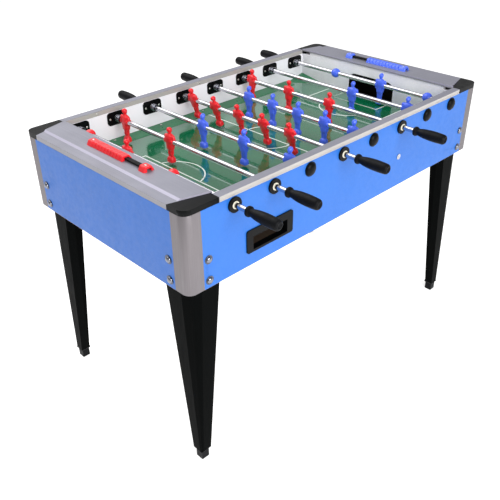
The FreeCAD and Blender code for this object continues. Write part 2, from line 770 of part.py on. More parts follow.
def make_bearings():
    """Bearing covers, bushes, inner plates and buffer springs of all rods."""
    covers, bushes, springs, plates = [], [], [], []
    inner_face = field_side - table.plate_thick
    seat = bush_radius + table.seat_gap
    for number, (side, players, pitch, lean) in enumerate(RODS):
        x, level = rod_x(number), rod_level
        name = "rod%d_" % (number + 1)
        cover_face = half_width + table.cover_thick
        sleeve = bar(name + "sleeve", sleeve_radius, field_side * side, half_width * side, x, level)
        flange = bar(name + "flange", table.cover_radius, half_width * side, cover_face * side, x, level)
        bore = bar(name + "cover_bore", seat, field_side * side, cover_face * side, x, level)
        covers.append(cut(name + "open_cover", fuse(name + "cover_solid", [sleeve, flange]), bore))
        bush_face = cover_face + table.sheet_metal
        bushes.append(ring(name + "tube_bush", bush_radius, table.tube_radius + table.running_gap,
                           inner_face * side, bush_face * side, x, level))

        far = -side
        blank_sleeve = bar(name + "blank_sleeve", sleeve_radius, field_side * far,
                           half_width * far, x, level)
        blank_flange = bar(name + "blank_flange", table.cover_radius, half_width * far,
                           (half_width + table.cover_thick / 2) * far, x, level)
        dome_sizes = {"Radius1": table.dome_rise, "Radius2": table.cover_radius - 2, "Angle1": 0}
        dome_at = (x, (half_width + table.cover_thick / 2) * far, level)
        dome = primitive("Ellipsoid", name + "dome", dome_sizes, dome_at, SIDE_WORD[far])
        blank = fuse(name + "blank_solid", [blank_sleeve, blank_flange, dome])
        blank_bore = bar(name + "blank_bore", seat, field_side * far, half_width * far, x, level)
        covers.append(cut(name + "blank_cover", blank, blank_bore))
        bushes.append(ring(name + "core_bush", bush_radius, table.core_radius + table.running_gap,
                           inner_face * far, (half_width - 1) * far, x, level))
        for word, way in (("handle", side), ("blank", far)):
            spring_bore = table.tube_radius + table.spring_play
            springs.append(ring(name + word + "_spring", spring_bore + table.spring_wall, spring_bore,
                                inner_face * way, spring_face * way, x, level))

    plate = doc.addObject("PartDesign::Body", "bearing_plate")
    bind(plate, "Placement.Base.y", -inner_face)
    shape = new_sketch(plate, "plate_shape", "XZ_Plane")
    half_wide, half_tall = table.plate_wide / 2, table.plate_tall / 2
    first = rod_x(0)
    rectangle(shape, first - half_wide, first + half_wide,
              rod_level - half_tall, rod_level + half_tall)
    circle(shape, first, rod_level, seat)
    slab = pad(plate, shape, "plate_slab", table.plate_thick)

    def is_corner(edge):
        beside = abs(abs(edge.CenterOfMass.x - first.value) - half_wide.value) < 1
        return beside and runs_along(edge, Vector(0, 1, 0))

    round_edges(plate, slab, "plate_rounds", table.plate_round, is_corner)
    for number in range(len(RODS)):
        copy = doc.addObject("Part::Compound", "plate_%d" % (number + 1))
        copy.Links = [plate]
        bind(copy, "Placement.Base.x", table.rod_pitch * number)
        plates.append(copy)
    near_plates = group("near_plates", plates)
    all_plates = group("wall_plates", [near_plates, across("far_plates", near_plates)])
    return [group("bearing_covers", covers), group("bearing_rings", bushes),
            group("buffer_springs", springs), all_plates]


def make_small_screws():
    """Heads of the screws in the plates, side rails, strips and score racks."""
    heads = []
    sizes = {"Circumradius": table.screw_head, "Height": table.screw_rise}

    def add(at, toward):
        head = primitive("Prism", "screw_%d" % (len(heads) + 1), sizes, at, toward)
        head.Polygon = 12
        heads.append(head)

    plate_face = field_side - table.plate_thick
    for side, inward in ((-1, "+y"), (1, "-y")):
        for number in range(len(RODS)):
            for step in (-1, 1):
                x = rod_x(number) + table.plate_screws / 2 * step
                add((x, plate_face * side, rod_level), inward)
        for step in (-1, 0, 1):
            x = table.rod_pitch * 3 * step
            add((x, field_side * side, table.top_level - table.cap_thick / 2), inward)
        for step in (-2, -1, 0, 1, 2):
            x = (field_half - table.ramp_along - 83) / 2 * step
            y = field_side - table.strip_width / 4
            slope = (table.strip_rise - table.strip_edge) / table.strip_width
            lift = table.strip_rise - slope * (table.strip_width / 4 - table.screw_head)
            add((x, y * side, field_level + lift), "+z")
    for end in (-1, 1):
        for y in score_brackets():
            add((score_x * end, y * -end, plate_level + table.counter_tall), "+z")
    return group("small_screws", heads)


def score_brackets():
    """Middles of the two brackets of the red rack, counted along +Y."""
    first = table.score_start - table.bracket_long / 2
    second = first - table.counter_pitch * COUNTERS - table.counter_free - table.bracket_long
    return first, second


def ridge(name, x, start, stop, low, high):
    """A block along Y with a wide foot and a narrow crown."""
    foot, crown = table.counter_wide / 2, table.counter_crown / 2
    half = (stop - start) / 2
    solid = doc.addObject("Part::Wedge", name)
    solid.Placement = Placement(Vector(), Rotation(Vector(1, 0, 0), 90))
    for prop, amount in (("Xmin", -foot), ("Xmax", foot), ("X2min", -crown), ("X2max", crown),
                         ("Zmin", -half), ("Zmax", half), ("Z2min", -half), ("Z2max", half),
                         ("Ymin", 0), ("Ymax", high - low)):
        bind(solid, prop, amount)
    for axis, amount in zip("xyz", (x, (start + stop) / 2, low)):
        bind(solid, "Placement.Base." + axis, amount)
    return solid


def make_score_racks():
    """On each end top: a bar between two brackets, nine parked counters and one lead counter."""
    bar_half = table.score_bar_wide / 2
    bar_low = plate_level + table.score_bar_lift
    bar_high = bar_low + table.score_bar_tall
    top = plate_level + table.counter_tall
    nodes, bars = [], []
    bracket_places = score_brackets()
    rack_start = bracket_places[0] + table.bracket_long / 2
    rack_end = bracket_places[1] - table.bracket_long / 2
    for team, end in (("red", -1), ("blue", 1)):
        way = -end
        x = score_x * end

        def ends(start, stop):
            return sorted((start * way, stop * way), key=lambda place: place.value)

        def span(name, start, stop, reach, low, high):
            near, far = ends(start, stop)
            return block(name, (x - reach, near, low), (x + reach, far, high))

        inner = (rack_start - table.bracket_long / 2, rack_end + table.bracket_long / 2)
        bars.append(span(team + "_bar", inner[0], inner[1], bar_half, bar_low, bar_high))
        parked = []
        for number, middle in enumerate(bracket_places, start=1):
            name = "%s_bracket_%d" % (team, number)
            near, far = ends(middle - table.bracket_long / 2, middle + table.bracket_long / 2)
            solid = ridge(name + "_solid", x, near, far, plate_level, top)
            seat = span(name + "_seat", inner[0], inner[1], bar_half, bar_low, bar_high)
            parked.append(cut(name, solid, seat))
        row_start = rack_start - table.bracket_long
        for number in range(COUNTERS):
            last = number == COUNTERS - 1
            name = team + "_score_lead" if last else "%s_counter_%d" % (team, number + 1)
            start = row_start - table.counter_pitch * number - table.slide_gap / 2
            stop = row_start - table.counter_pitch * (number + 1) + table.slide_gap / 2
            near, far = ends(start, stop)
            solid = ridge(name + "_solid", x, near, far, plate_level + table.slide_gap, top)
            gap = table.slide_gap
            hole = span(name + "_hole", start, stop, bar_half + gap, bar_low - gap, bar_high + gap)
            counter = cut(name, solid, hole)
            if last:
                nodes.append(counter)
            else:
                parked.append(counter)
        nodes.append(group(team + "_score_rack", parked))
    nodes.append(group("score_bars", bars))
    return nodes


def make_player(name, y):
    """One player round the rod: head, neck, shoulders, tapering legs and a foot block."""
    shoulder = table.shoulder_half
    head_radius = 10
    head_at = (0, y, table.head_top - head_radius)
    head = primitive("Sphere", name + "_head", {"Radius": head_radius}, head_at)
    neck = primitive("Cylinder", name + "_neck", {"Radius": 5.5, "Height": 16}, (0, y, 12))
    chest = primitive("Ellipsoid", name + "_chest",
                      {"Radius1": 19, "Radius2": 13, "Radius3": shoulder, "Angle1": -90}, (0, y, 4))
    legs = doc.addObject("Part::Wedge", name + "_legs")
    legs.Placement = Placement(Vector(), Rotation(Vector(1, 0, 0), 90))
    leg_low = 12 - table.foot_drop
    for prop, amount in (("Xmin", -7), ("Xmax", 7), ("Zmin", -9), ("Zmax", 9),
                         ("X2min", -11), ("X2max", 11), ("Z2min", -19), ("Z2max", 19),
                         ("Ymin", leg_low), ("Ymax", 0)):
        bind(legs, prop, amount)
    bind(legs, "Placement.Base.y", y)
    foot_low = (as_size(-11), y - 14, -table.foot_drop)
    foot = block(name + "_foot", foot_low, (as_size(11), y + 14, 22 - table.foot_drop))
    solid = fuse(name + "_solid", [head, neck, chest, legs, foot])
    bore = bar(name + "_bore", table.tube_radius + table.seat_gap, y - shoulder * 2, y + shoulder * 2)
    return cut(name, solid, bore)


def make_stop_ball(name, y):
    ball = primitive("Sphere", name + "_solid", {"Radius": table.stop_ball}, (0, y, 0))
    reach = table.stop_ball * 2
    bore = bar(name + "_bore", table.tube_radius + table.seat_gap, y - reach, y + reach)
    return cut(name, ball, bore)


def make_handle(name, side, start):
    """A turned grip with a bead and a neck, closed at its outer end."""
    body = doc.addObject("PartDesign::Body", name + "_grip")
    profile = new_sketch(body, name + "_profile", "YZ_Plane")
    length, wide = table.handle_length, table.handle_radius
    bore = table.tube_radius + table.seat_gap
    bore_end = start + length - table.grip_end
    stations = ((0.00, 0.74), (0.02, 0.88), (0.06, 0.88), (0.09, 0.70), (0.15, 0.68),
                (0.26, 0.84), (0.42, 0.97), (0.58, 1.00), (0.80, 0.95), (0.93, 0.84), (0.98, 0.66),
                (1.00, 0.44))
    points = [((start + length * share) * side, wide * radius) for share, radius in stations]
    points.append(((start + length) * side, as_size(0)))
    points.append((bore_end * side, as_size(0)))
    points.append((bore_end * side, bore))
    points.append((start * side, bore))
    outline(profile, points)
    turned = body.newObject("PartDesign::Revolution", name + "_turned")
    turned.Profile = profile
    turned.ReferenceAxis = (origin_feature(body, "Y_Axis"), [""])
    turned.Angle = 360
    return body


def make_men(name, players, pitch, away, last_stop):
    """The players of one rod, or the goalkeeper with the two stop balls, and the rod's travel."""
    if players == 1:
        far_ball = last_stop - table.keeper_spare - table.stop_ball
        near_ball = far_ball - pitch
        men = [make_player(name + "_player_1", (far_ball - table.keeper_pitch) * away)]
        men.append(make_stop_ball(name + "_ball_1", far_ball * away))
        men.append(make_stop_ball(name + "_ball_2", near_ball * away))
        return men, table.keeper_spare, last_stop + near_ball - table.stop_ball
    first = last_stop - table.shoulder_half
    men = []
    for place in range(players):
        y = (first - pitch * place) * away
        men.append(make_player("%s_player_%d" % (name, place + 1), y))
    last = first - pitch * (players - 1)
    return men, as_size(0), last_stop + last - table.shoulder_half


def make_rods():
    nodes = []
    last_stop = spring_face - table.stop_gap
    grip_start = half_width + table.handle_gap
    for number, (side, players, pitch, lean) in enumerate(RODS):
        name = "rod%d" % (number + 1)
        away = -side
        men, inward, outward = make_men(name, players, pitch, away, last_stop)
        tube_far = field_side - table.plate_thick * 2 - inward
        tube_near = grip_start + table.handle_length - table.grip_end - 1
        tube = ring(name + "_pipe", table.tube_radius, table.core_radius + table.running_gap,
                    tube_far * away, tube_near * side)
        core_far = half_width - table.sheet_metal
        core_near = tube_far - outward - table.core_overlap
        core = bar(name + "_bar", table.core_radius, core_far * away, core_near * away)
        handle = make_handle(name, side, grip_start)
        print("%s goes in %.1f and out %.1f" % (name, inward.value, outward.value))
        for word, pieces, turn in (("tube", [tube], 0), ("core", [core], 0),
                                   ("men", men, lean), ("handle", [handle], 0)):
            node = group("%s_%s" % (name, word), pieces)
            node.Placement = Placement(Vector(), Rotation(Vector(0, 1, 0), -turn))
            bind(node, "Placement.Base.x", rod_x(number))
            bind(node, "Placement.Base.z", rod_level)
            nodes.append(node)
    return nodes


nodes = make_panels()
nodes.append(make_corner_posts())
nodes.append(make_corner_caps())
nodes.append(make_top_rails())
nodes.append(make_goal_walls())
nodes.append(make_playfield())
nodes.append(make_field_ramps())
nodes.append(make_return_board())
nodes.append(make_ball_slot_frame())
nodes.extend(make_lock())
nodes.append(make_legs())
nodes.extend(make_feet())
nodes.append(make_leg_bolts())
nodes.extend(make_bearings())
nodes.append(make_small_screws())
nodes.extend(make_score_racks())
nodes.extend(make_rods())

doc.recompute()
for item in doc.Objects:
    if "Invalid" in item.State or "Error" in item.State:
        raise RuntimeError("%s failed: %s" % (item.Name, item.State))
for node in nodes:
    if node.Shape.isNull() or not node.Shape.isValid() or not node.Shape.Solids:
        raise RuntimeError("%s has no valid solid" % node.Label)

os.makedirs("parts", exist_ok=True)
for node in nodes:
    node.Shape.exportStep("parts/%s.step" % node.Label)
print("%d nodes, %d solids" % (len(nodes), sum(len(node.Shape.Solids) for node in nodes)))
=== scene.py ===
# %% [markdown]
# # A foosball table
# The frame below is the real assembly: cabinet, legs, eight sliding rods, score racks. Every
# piece already has its true place, in metres, and its own moving body. This lesson gives the
# pieces their finish, and swaps the plain stand-ins (players, grips, springs, counters, screws)
# for worked shapes that ride on the same bodies.

# %% Load the assembly
import json
import math
import bmesh
import bpy
from mathutils import Matrix, Vector
from mathutils.noise import noise as soft_noise


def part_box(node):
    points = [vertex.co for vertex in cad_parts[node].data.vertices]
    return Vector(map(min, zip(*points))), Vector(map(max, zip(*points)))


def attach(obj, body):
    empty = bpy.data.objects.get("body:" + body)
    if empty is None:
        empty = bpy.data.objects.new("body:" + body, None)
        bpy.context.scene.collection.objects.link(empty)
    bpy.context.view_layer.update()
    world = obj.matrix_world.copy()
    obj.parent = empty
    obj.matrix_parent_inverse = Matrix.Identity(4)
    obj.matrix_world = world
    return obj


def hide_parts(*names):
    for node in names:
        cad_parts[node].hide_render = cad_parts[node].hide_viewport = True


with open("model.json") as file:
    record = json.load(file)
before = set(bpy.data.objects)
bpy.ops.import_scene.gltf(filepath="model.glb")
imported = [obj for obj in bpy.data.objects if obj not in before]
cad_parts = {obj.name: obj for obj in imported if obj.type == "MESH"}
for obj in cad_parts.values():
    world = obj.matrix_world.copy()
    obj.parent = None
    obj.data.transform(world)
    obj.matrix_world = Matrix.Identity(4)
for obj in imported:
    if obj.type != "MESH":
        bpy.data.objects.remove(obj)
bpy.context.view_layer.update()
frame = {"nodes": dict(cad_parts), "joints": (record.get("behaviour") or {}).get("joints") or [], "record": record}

nodes = frame["nodes"]

# %% [markdown]
# ## Where the eye is
# The table is seen from above its near left corner, a little over adult eye height, with a
# slightly long lens. A camera could be aimed with a Track To constraint, but three plain angles
# keep its small tilt as well, so its matrix is written out from them.

# %% Camera
EYE = Vector((-1.5593, -1.5184, 1.6989))
HEADING, PITCH, TILT = (math.radians(a) for a in (43.923, -32.085, -0.823))


def aim(heading, pitch, tilt):
    """Rotation of a camera that looks along heading (from +Y towards +X) and pitch."""
    ahead = Vector((math.sin(heading) * math.cos(pitch), math.cos(heading) * math.cos(pitch),
                    math.sin(pitch)))
    right = ahead.cross(Vector((0, 0, 1))).normalized()
    above = right.cross(ahead)
    side = math.cos(tilt) * right + math.sin(tilt) * above
    top = math.cos(tilt) * above - math.sin(tilt) * right
    return Matrix((side, top, -ahead)).transposed()


lens = bpy.data.cameras.new("eye")
lens.sensor_width = 36
lens.lens = 47.83
lens.clip_start, lens.clip_end = 0.05, 60
eye = bpy.data.objects.new("eye", lens)
eye.matrix_world = Matrix.Translation(EYE) @ aim(HEADING, PITCH, TILT).to_4x4()
bpy.context.scene.collection.objects.link(eye)
bpy.context.scene.camera = eye
print("camera at", [round(v, 3) for v in eye.location], "lens", lens.lens)

# %% [markdown]
# ## Studio
# The table stands on a seamless white floor under a pale, even sky, as on a catalogue sheet. The
# floor glows a little, so that shadows on it stay faint. A broad lamp in front of the long near
# side lights that side more than the end, and another overhead draws one bright line along each
# rod. Many small lamps would leave a row of dots on the chrome, and a brighter sky would turn
# the chrome plain white, so two broad lamps are used under a darker sky.

# %% Floor and sky
WHITE_FLOOR, FLOOR_GLOW, FLOOR_REACH = 0.80, 0.67, 30
SKY = 0.46


def linear(*rgb):
    """A colour picked on screen, 0 to 255, as the linear values that shaders work in."""
    values = [c / 255 for c in rgb]
    return tuple(c / 12.92 if c <= 0.04045 else ((c + 0.055) / 1.055) ** 2.4 for c in values)


scene = bpy.context.scene
scene.view_settings.view_transform = "Standard"
world = bpy.data.worlds.new("even_sky")
scene.world = world
world.use_nodes = True
world.node_tree.nodes["Background"].inputs["Color"].default_value = (1.0, 1.0, 1.0, 1)
world.node_tree.nodes["Background"].inputs["Strength"].default_value = SKY

floor_mesh = bpy.data.meshes.new("studio_floor")
floor_corners = [(FLOOR_REACH * x, FLOOR_REACH * y, 0) for x, y in ((-1, -1), (1, -1), (1, 1), (-1, 1))]
floor_mesh.from_pydata(floor_corners, [], [(0, 1, 2, 3)])
floor = bpy.data.objects.new("studio_floor", floor_mesh)
floor.location.z = -0.0005
scene.collection.objects.link(floor)
paper = bpy.data.materials.new("pale_floor")
paper.use_nodes = True
paper_shader = paper.node_tree.nodes["Principled BSDF"]
paper_shader.inputs["Base Color"].default_value = (WHITE_FLOOR, WHITE_FLOOR, WHITE_FLOOR, 1)
paper_shader.inputs["Roughness"].default_value = 0.9
paper_shader.inputs["Emission Color"].default_value = (1, 1, 1, 1)
paper_shader.inputs["Emission Strength"].default_value = FLOOR_GLOW
paper_shader.inputs["Specular IOR Level"].default_value = 0.1
floor_mesh.materials.append(paper)

# %% Lamps


def soft_lamp(name, place, toward, size, power):
    """An oblong area lamp at place, facing toward."""
    light = bpy.data.lights.new(name, "AREA")
    light.shape = "RECTANGLE"
    light.size, light.size_y = size
    light.energy = power
    lamp = bpy.data.objects.new(name, light)
    lamp.location = place
    lamp.rotation_euler = (Vector(toward) - Vector(place)).to_track_quat("-Z", "Y").to_euler()
    scene.collection.objects.link(lamp)
    return lamp


soft_lamp("near_side_lamp", (-0.8, -3.4, 2.2), (0, 0, 0.7), (2.8, 1.8), 124)
soft_lamp("over_lamp", (-0.3, 1.4, 3.0), (0, 0, 0.8), (2.6, 2.4), 62)

# %% [markdown]
# ## How a finish is put together
# Nothing on a used table is one flat colour: laminate is faintly mottled, plastic has a fine
# orange-peel, edges and hand places are rubbed. Image textures would need unwrapping, so each
# finish is built from noise that is measured in the table's own metres. A small class keeps the
# node wiring readable.

# %% The finish builder


class Finish:
    """A material whose nodes are added by short calls, each giving back its output."""

    def __init__(self, name, colour, roughness, metallic=0.0):
        self.material = bpy.data.materials.new(name)
        self.material.use_nodes = True
        self.tree = self.material.node_tree
        self.shader = self.tree.nodes["Principled BSDF"]
        self.colour = linear(*colour)
        self.base = self.rgb(self.colour)
        self.roughness = roughness
        self.shader.inputs["Metallic"].default_value = metallic
        self.shader.inputs["Roughness"].default_value = roughness
        self.place = self.node("ShaderNodeTexCoord").outputs["Object"]
        self.axis = self.split(self.place)

    def node(self, kind, **settings):
        made = self.tree.nodes.new(kind)
        for key, value in settings.items():
            setattr(made, key, value)
        return made

    def join(self, value, socket):
        """Links an output to a socket, or sets the socket to a plain number or colour."""
        if isinstance(value, bpy.types.NodeSocket):
            self.tree.links.new(value, socket)
        elif isinstance(value, tuple) and len(value) == 3 and socket.type == "RGBA":
            socket.default_value = (*value, 1)
        else:
            socket.default_value = value

    def rgb(self, colour):
        made = self.node("ShaderNodeRGB")
        made.outputs[0].default_value = (*colour, 1)
        return made.outputs[0]

    def split(self, vector):
        made = self.node("ShaderNodeSeparateXYZ")
        self.join(vector, made.inputs[0])
        return made.outputs

    def math(self, operation, first, second=0.0, third=0.0):
        made = self.node("ShaderNodeMath", operation=operation)
        for value, socket in zip((first, second, third), made.inputs):
            self.join(value, socket)
        return made.outputs[0]

    def off_middle(self, axis, operation, limit):
        """1 where the distance from the table's middle plane is past, or within, the limit."""
        return self.math(operation, self.math("ABSOLUTE", self.axis[axis]), limit)

    def noise(self, scale, detail=3.0, stretch=None, rough=0.55):
        """Noise from 0 to 1; scale counts its grains per metre."""
        made = self.node("ShaderNodeTexNoise")
        where = self.place
        if stretch:
            mapping = self.node("ShaderNodeMapping")
            mapping.inputs["Scale"].default_value = stretch
            self.join(where, mapping.inputs["Vector"])
            where = mapping.outputs[0]
        self.join(where, made.inputs["Vector"])
        made.inputs["Scale"].default_value = scale
        made.inputs["Detail"].default_value = detail
        made.inputs["Roughness"].default_value = rough
        return made.outputs["Fac"]

    def between(self, value, low, high, out_low=0.0, out_high=1.0):
        """value from low to high, spread over out_low to out_high and held there."""
        made = self.node("ShaderNodeMapRange")
        for number, amount in enumerate((value, low, high, out_low, out_high)):
            self.join(amount, made.inputs[number])
        return made.outputs[0]

    def mix(self, share, first, second):
        made = self.node("ShaderNodeMix", data_type="RGBA")
        self.join(share, made.inputs["Factor"])
        self.join(first, made.inputs[6])
        self.join(second, made.inputs[7])
        return made.outputs[2]

    def tint(self, share, factor):
        """The base colour multiplied by factor where share is 1."""
        scaled = tuple(min(1.0, c * factor) for c in self.colour)
        self.base = self.mix(share, self.base, scaled)

    def cover(self, share, colour):
        self.base = self.mix(share, self.base, linear(*colour))

    def bump(self, height, depth, strength=1.0):
        """depth is the height of the bumps in metres."""
        made = self.node("ShaderNodeBump")
        made.inputs["Strength"].default_value = strength
        made.inputs["Distance"].default_value = depth
        self.join(height, made.inputs["Height"])
        if self.shader.inputs["Normal"].links:
            self.join(self.shader.inputs["Normal"].links[0].from_socket, made.inputs["Normal"])
        self.join(made.outputs[0], self.shader.inputs["Normal"])

    def rough_from(self, value, low, high):
        self.join(self.between(value, 0.3, 0.7, low, high), self.shader.inputs["Roughness"])

    def done(self):
        self.join(self.base, self.shader.inputs["Base Color"])
        return self.material


def rubbed_edges(finish, share, factor):
    """Edges that hands and cloths pass over are a little lighter."""
    geometry = finish.node("ShaderNodeNewGeometry")
    edge = finish.between(geometry.outputs["Pointiness"], 0.53, 0.62)
    finish.tint(finish.math("MULTIPLY", edge, share), factor)


finishes = {}

# %% [markdown]
# ## Laminated boards
# The cabinet is board with satin blue laminate outside and white laminate towards the field.
# It could be two thin sheets on each panel, but one board with two faces is what the maker
# buys, so a single finish picks white or blue from the depth in the wall. The cut lower edge
# shows the bare board, and the inner faces of the ball pit behind each goal get painted shade.

# %% Blue and white laminate
END_FACE, SIDE_FACE, SKIN = 0.6768, 0.3693, 0.004
GOAL_WALL_BACK, PIT_TOP, PANEL_FOOT = 0.612, 0.880, 0.6636


def outside_share(finish):
    """1 on the outer faces of the cabinet, 0 on the faces towards the field."""
    past_end = finish.off_middle(0, "GREATER_THAN", END_FACE + SKIN)
    past_side = finish.off_middle(1, "GREATER_THAN", SIDE_FACE + SKIN)
    return finish.math("MAXIMUM", past_end, past_side)


def laminate(name, colour, roughness):
    made = Finish(name, colour, roughness)
    mottle = made.noise(9, 4)
    made.tint(made.between(mottle, 0.35, 0.7), 0.93)
    made.tint(made.between(made.noise(160, 2), 0.45, 0.75, 0, 0.6), 1.07)
    made.rough_from(made.noise(60, 3), roughness - 0.06, roughness + 0.08)
    made.bump(made.noise(1400, 2), 0.00003)
    made.bump(made.noise(45, 2), 0.00012, 0.5)
    return made


blue = laminate("blue_laminate_two_faced", (36, 106, 196), 0.40)
inside = blue.math("SUBTRACT", 1.0, outside_share(blue))
blue.cover(inside, (246, 244, 250))
# painted shade: the inner faces in the ball pit behind each goal are painted near black
pit_shade = blue.math("MULTIPLY", blue.math("LESS_THAN", blue.axis[2], PIT_TOP),
                   blue.off_middle(0, "GREATER_THAN", GOAL_WALL_BACK))
blue.cover(blue.math("MULTIPLY", inside, pit_shade), (26, 24, 22))
cut_edge = blue.math("LESS_THAN", blue.axis[2], PANEL_FOOT)
blue.cover(cut_edge, (176, 146, 108))
blue.shader.inputs["Specular IOR Level"].default_value = 0.45
finishes["blue_laminate"] = blue.done()

# %% [markdown]
# The goal walls are white laminate on both faces. The cut edges of the goal mouth are given
# painted shade, near black, so that the mouth reads as one dark hole.

# %% White laminate with painted shade in the goal mouth
MOUTH_FACE, MOUTH_HALF, MOUTH_TOP = 0.5792, 0.1085, 0.877
white = laminate("white_laminate_satin", (246, 244, 250), 0.42)
in_wall = white.off_middle(0, "GREATER_THAN", MOUTH_FACE)
in_width = white.off_middle(1, "LESS_THAN", MOUTH_HALF)
under_top = white.math("LESS_THAN", white.axis[2], MOUTH_TOP)
mouth_shade = white.math("MULTIPLY", in_wall, white.math("MULTIPLY", in_width, under_top))
# painted shade: the faces inside the goal mouth are painted near black
white.cover(mouth_shade, (14, 14, 15))
finishes["white_laminate"] = white.done()
print("laminates:", [finishes[k].name for k in ("blue_laminate", "white_laminate")])

# %% [markdown]
# ## Anodised aluminium
# Rails, end tops and posts are extruded, so they carry long fine lines along their length and a
# soft grey anodised shine. Noise stretched about a hundred times along the bar draws these
# lines; the end tops run across the table, so their lines turn with them. The band on each
# bevel and the side faces carry a painted highlight, lighter than the flat tops and strongest
# on the side rails.

# %% Extruded metal
TOP_FACE, STRIPE_FROM, STRIPE_TO = 0.9192, 0.9204, 0.9247
END_TOPS_FROM = 0.573


def drawn_lines(finish, end_share):
    """Lines along X on the side rails and along Y on the end tops."""
    along_x = finish.noise(3, 4, (2, 420, 420))
    along_y = finish.noise(3, 4, (420, 2, 420))
    picked = finish.node("ShaderNodeMix", data_type="FLOAT")
    for value, socket in zip((end_share, along_x, along_y), (0, 2, 3)):
        finish.join(value, picked.inputs[socket])
    return picked.outputs[0]


rail_metal = Finish("anodised_rail", (136, 136, 148), 0.46, 0.12)
end_share = rail_metal.off_middle(0, "GREATER_THAN", END_TOPS_FROM)
lines = drawn_lines(rail_metal, end_share)
height = rail_metal.axis[2]
# painted highlight: the band on each end-top bevel is painted a lighter, bluer grey
bevel_highlight = rail_metal.math("MULTIPLY", rail_metal.math("GREATER_THAN", height, STRIPE_FROM),
                         rail_metal.math("LESS_THAN", height, STRIPE_TO))
lit_sides = rail_metal.math("LESS_THAN", height, TOP_FACE)
rail_metal.tint(rail_metal.between(lines, 0.35, 0.65, 0, 0.7), 0.84)
rail_metal.tint(rail_metal.between(rail_metal.noise(7, 2), 0.4, 0.7), 1.08)
rail_metal.cover(rail_metal.math("MULTIPLY", bevel_highlight, 0.6), (190, 185, 206))
# painted highlight: the side faces are painted lighter, strongly on the side rails and faintly on the end tops
side_sheen_share = rail_metal.between(end_share, 0, 1, 0.9, 0.25)
rail_metal.cover(rail_metal.math("MULTIPLY", lit_sides, side_sheen_share), (184, 180, 175))
rail_metal.rough_from(lines, 0.34, 0.52)
rail_metal.bump(lines, 0.00004)
finishes["silver_aluminium"] = rail_metal.done()

post_metal = Finish("anodised_post", (128, 123, 126), 0.42, 0.75)
post_lines = post_metal.noise(3, 4, (420, 420, 2))
post_metal.tint(post_metal.between(post_lines, 0.35, 0.65, 0, 0.7), 0.86)
post_metal.rough_from(post_lines, 0.36, 0.54)
post_metal.bump(post_lines, 0.00004)
post_finish = post_metal.done()
print("metal finishes:", finishes["silver_aluminium"].name, post_finish.name)

# %% [markdown]
# ## Moulded plastics
# Corner caps and rod flanges are glossy black mouldings; grips and feet have a finer, duller
# grain that fingers rub shiny. Both are one recipe with other numbers: a grain, a broad change
# of gloss, and lighter rubbed edges.

# %% Black, cream and team plastics


def moulded(name, colour, low_gloss, high_gloss, grain=0.00004, cells=900):
    made = Finish(name, colour, low_gloss)
    made.tint(made.between(made.noise(40, 3), 0.4, 0.7), 0.88)
    made.tint(made.between(made.noise(cells, 2), 0.5, 0.8, 0, 0.5), 1.15)
    rubbed_edges(made, 0.5, 1.7)
    made.rough_from(made.noise(55, 3), low_gloss, high_gloss)
    made.bump(made.noise(cells, 2), grain)
    return made


finishes["black_gloss_plastic"] = moulded("black_moulding", (6, 7, 8), 0.3, 0.42, 0.00002).done()
finishes["black_matte_plastic"] = moulded("grip_plastic", (11, 12, 15), 0.42, 0.58, 0.00008).done()
finishes["white_bush_plastic"] = moulded("cream_bush", (228, 222, 200), 0.38, 0.5).done()
finishes["red_team_plastic"] = moulded("red_team", (240, 28, 40), 0.3, 0.42).done()
finishes["blue_team_plastic"] = moulded("blue_team", (74, 108, 242), 0.3, 0.42).done()
for team in ("red_team_plastic", "blue_team_plastic"):
    shader = finishes[team].node_tree.nodes["Principled BSDF"]
    shader.inputs["Subsurface Weight"].default_value = 0.08
    shader.inputs["Subsurface Radius"].default_value = (0.002, 0.002, 0.002)
    shader.inputs["Coat Weight"].default_value = 0.15
for black in ("black_gloss_plastic", "black_matte_plastic"):
    finishes[black].node_tree.nodes["Principled BSDF"].inputs["Specular IOR Level"].default_value = 0.11
print("plastics:", [slot for slot in finishes if slot.endswith("plastic")])

# %% [markdown]
# ## Chrome, steel and zinc
# The rods are polished chrome: nearly a mirror, with a faint fine grain in the polish. The
# inner bars are plain drawn steel, the springs darker wire, the small screws dull zinc. Bolts
# are darker than the rods, and their washers are darker still, so the bolt finish turns grey up
# to the washer's thickness above the panels.

# %% Bright metals


def bright_metal(name, colour, low_gloss, high_gloss):
    made = Finish(name, colour, low_gloss, 1.0)
    made.tint(made.between(made.noise(30, 3), 0.45, 0.75, 0, 0.6), 0.85)
    made.rough_from(made.noise(70, 4), low_gloss, high_gloss)
    made.bump(made.noise(4, 3, (300, 300, 300)), 0.00001)
    return made


finishes["chrome_plate"] = bright_metal("chrome", (196, 196, 202), 0.04, 0.12).done()
finishes["core_steel"] = bright_metal("drawn_steel", (190, 190, 195), 0.22, 0.36).done()
finishes["zinc_screw"] = bright_metal("zinc", (202, 200, 196), 0.24, 0.4).done()

spring_finish = bright_metal("spring_steel", (138, 140, 148), 0.12, 0.26).done()
bolt_metal = bright_metal("bolt_chrome", (136, 138, 146), 0.08, 0.2)
PANEL_END, PANEL_SIDE, WASHER = 0.695, 0.3875, 0.0018
near_end = bolt_metal.off_middle(0, "LESS_THAN", PANEL_END + WASHER)
near_side = bolt_metal.off_middle(1, "LESS_THAN", PANEL_SIDE + WASHER)
bolt_metal.cover(bolt_metal.math("MULTIPLY", near_end, near_side), (96, 98, 106))
bolt_finish = bolt_metal.done()
print("bright metals:", finishes["chrome_plate"].name, bolt_finish.name)

# %% [markdown]
# ## Field, strips, boards and legs
# The field is green under a hard clear gloss, so it mirrors the rods and the white walls; a
# second clear layer on the shader gives that mirror without losing the green. The sloping
# strips are duller moulded green. Legs are deep black paint, almost matt, over timber whose
# grain still shows along the leg.

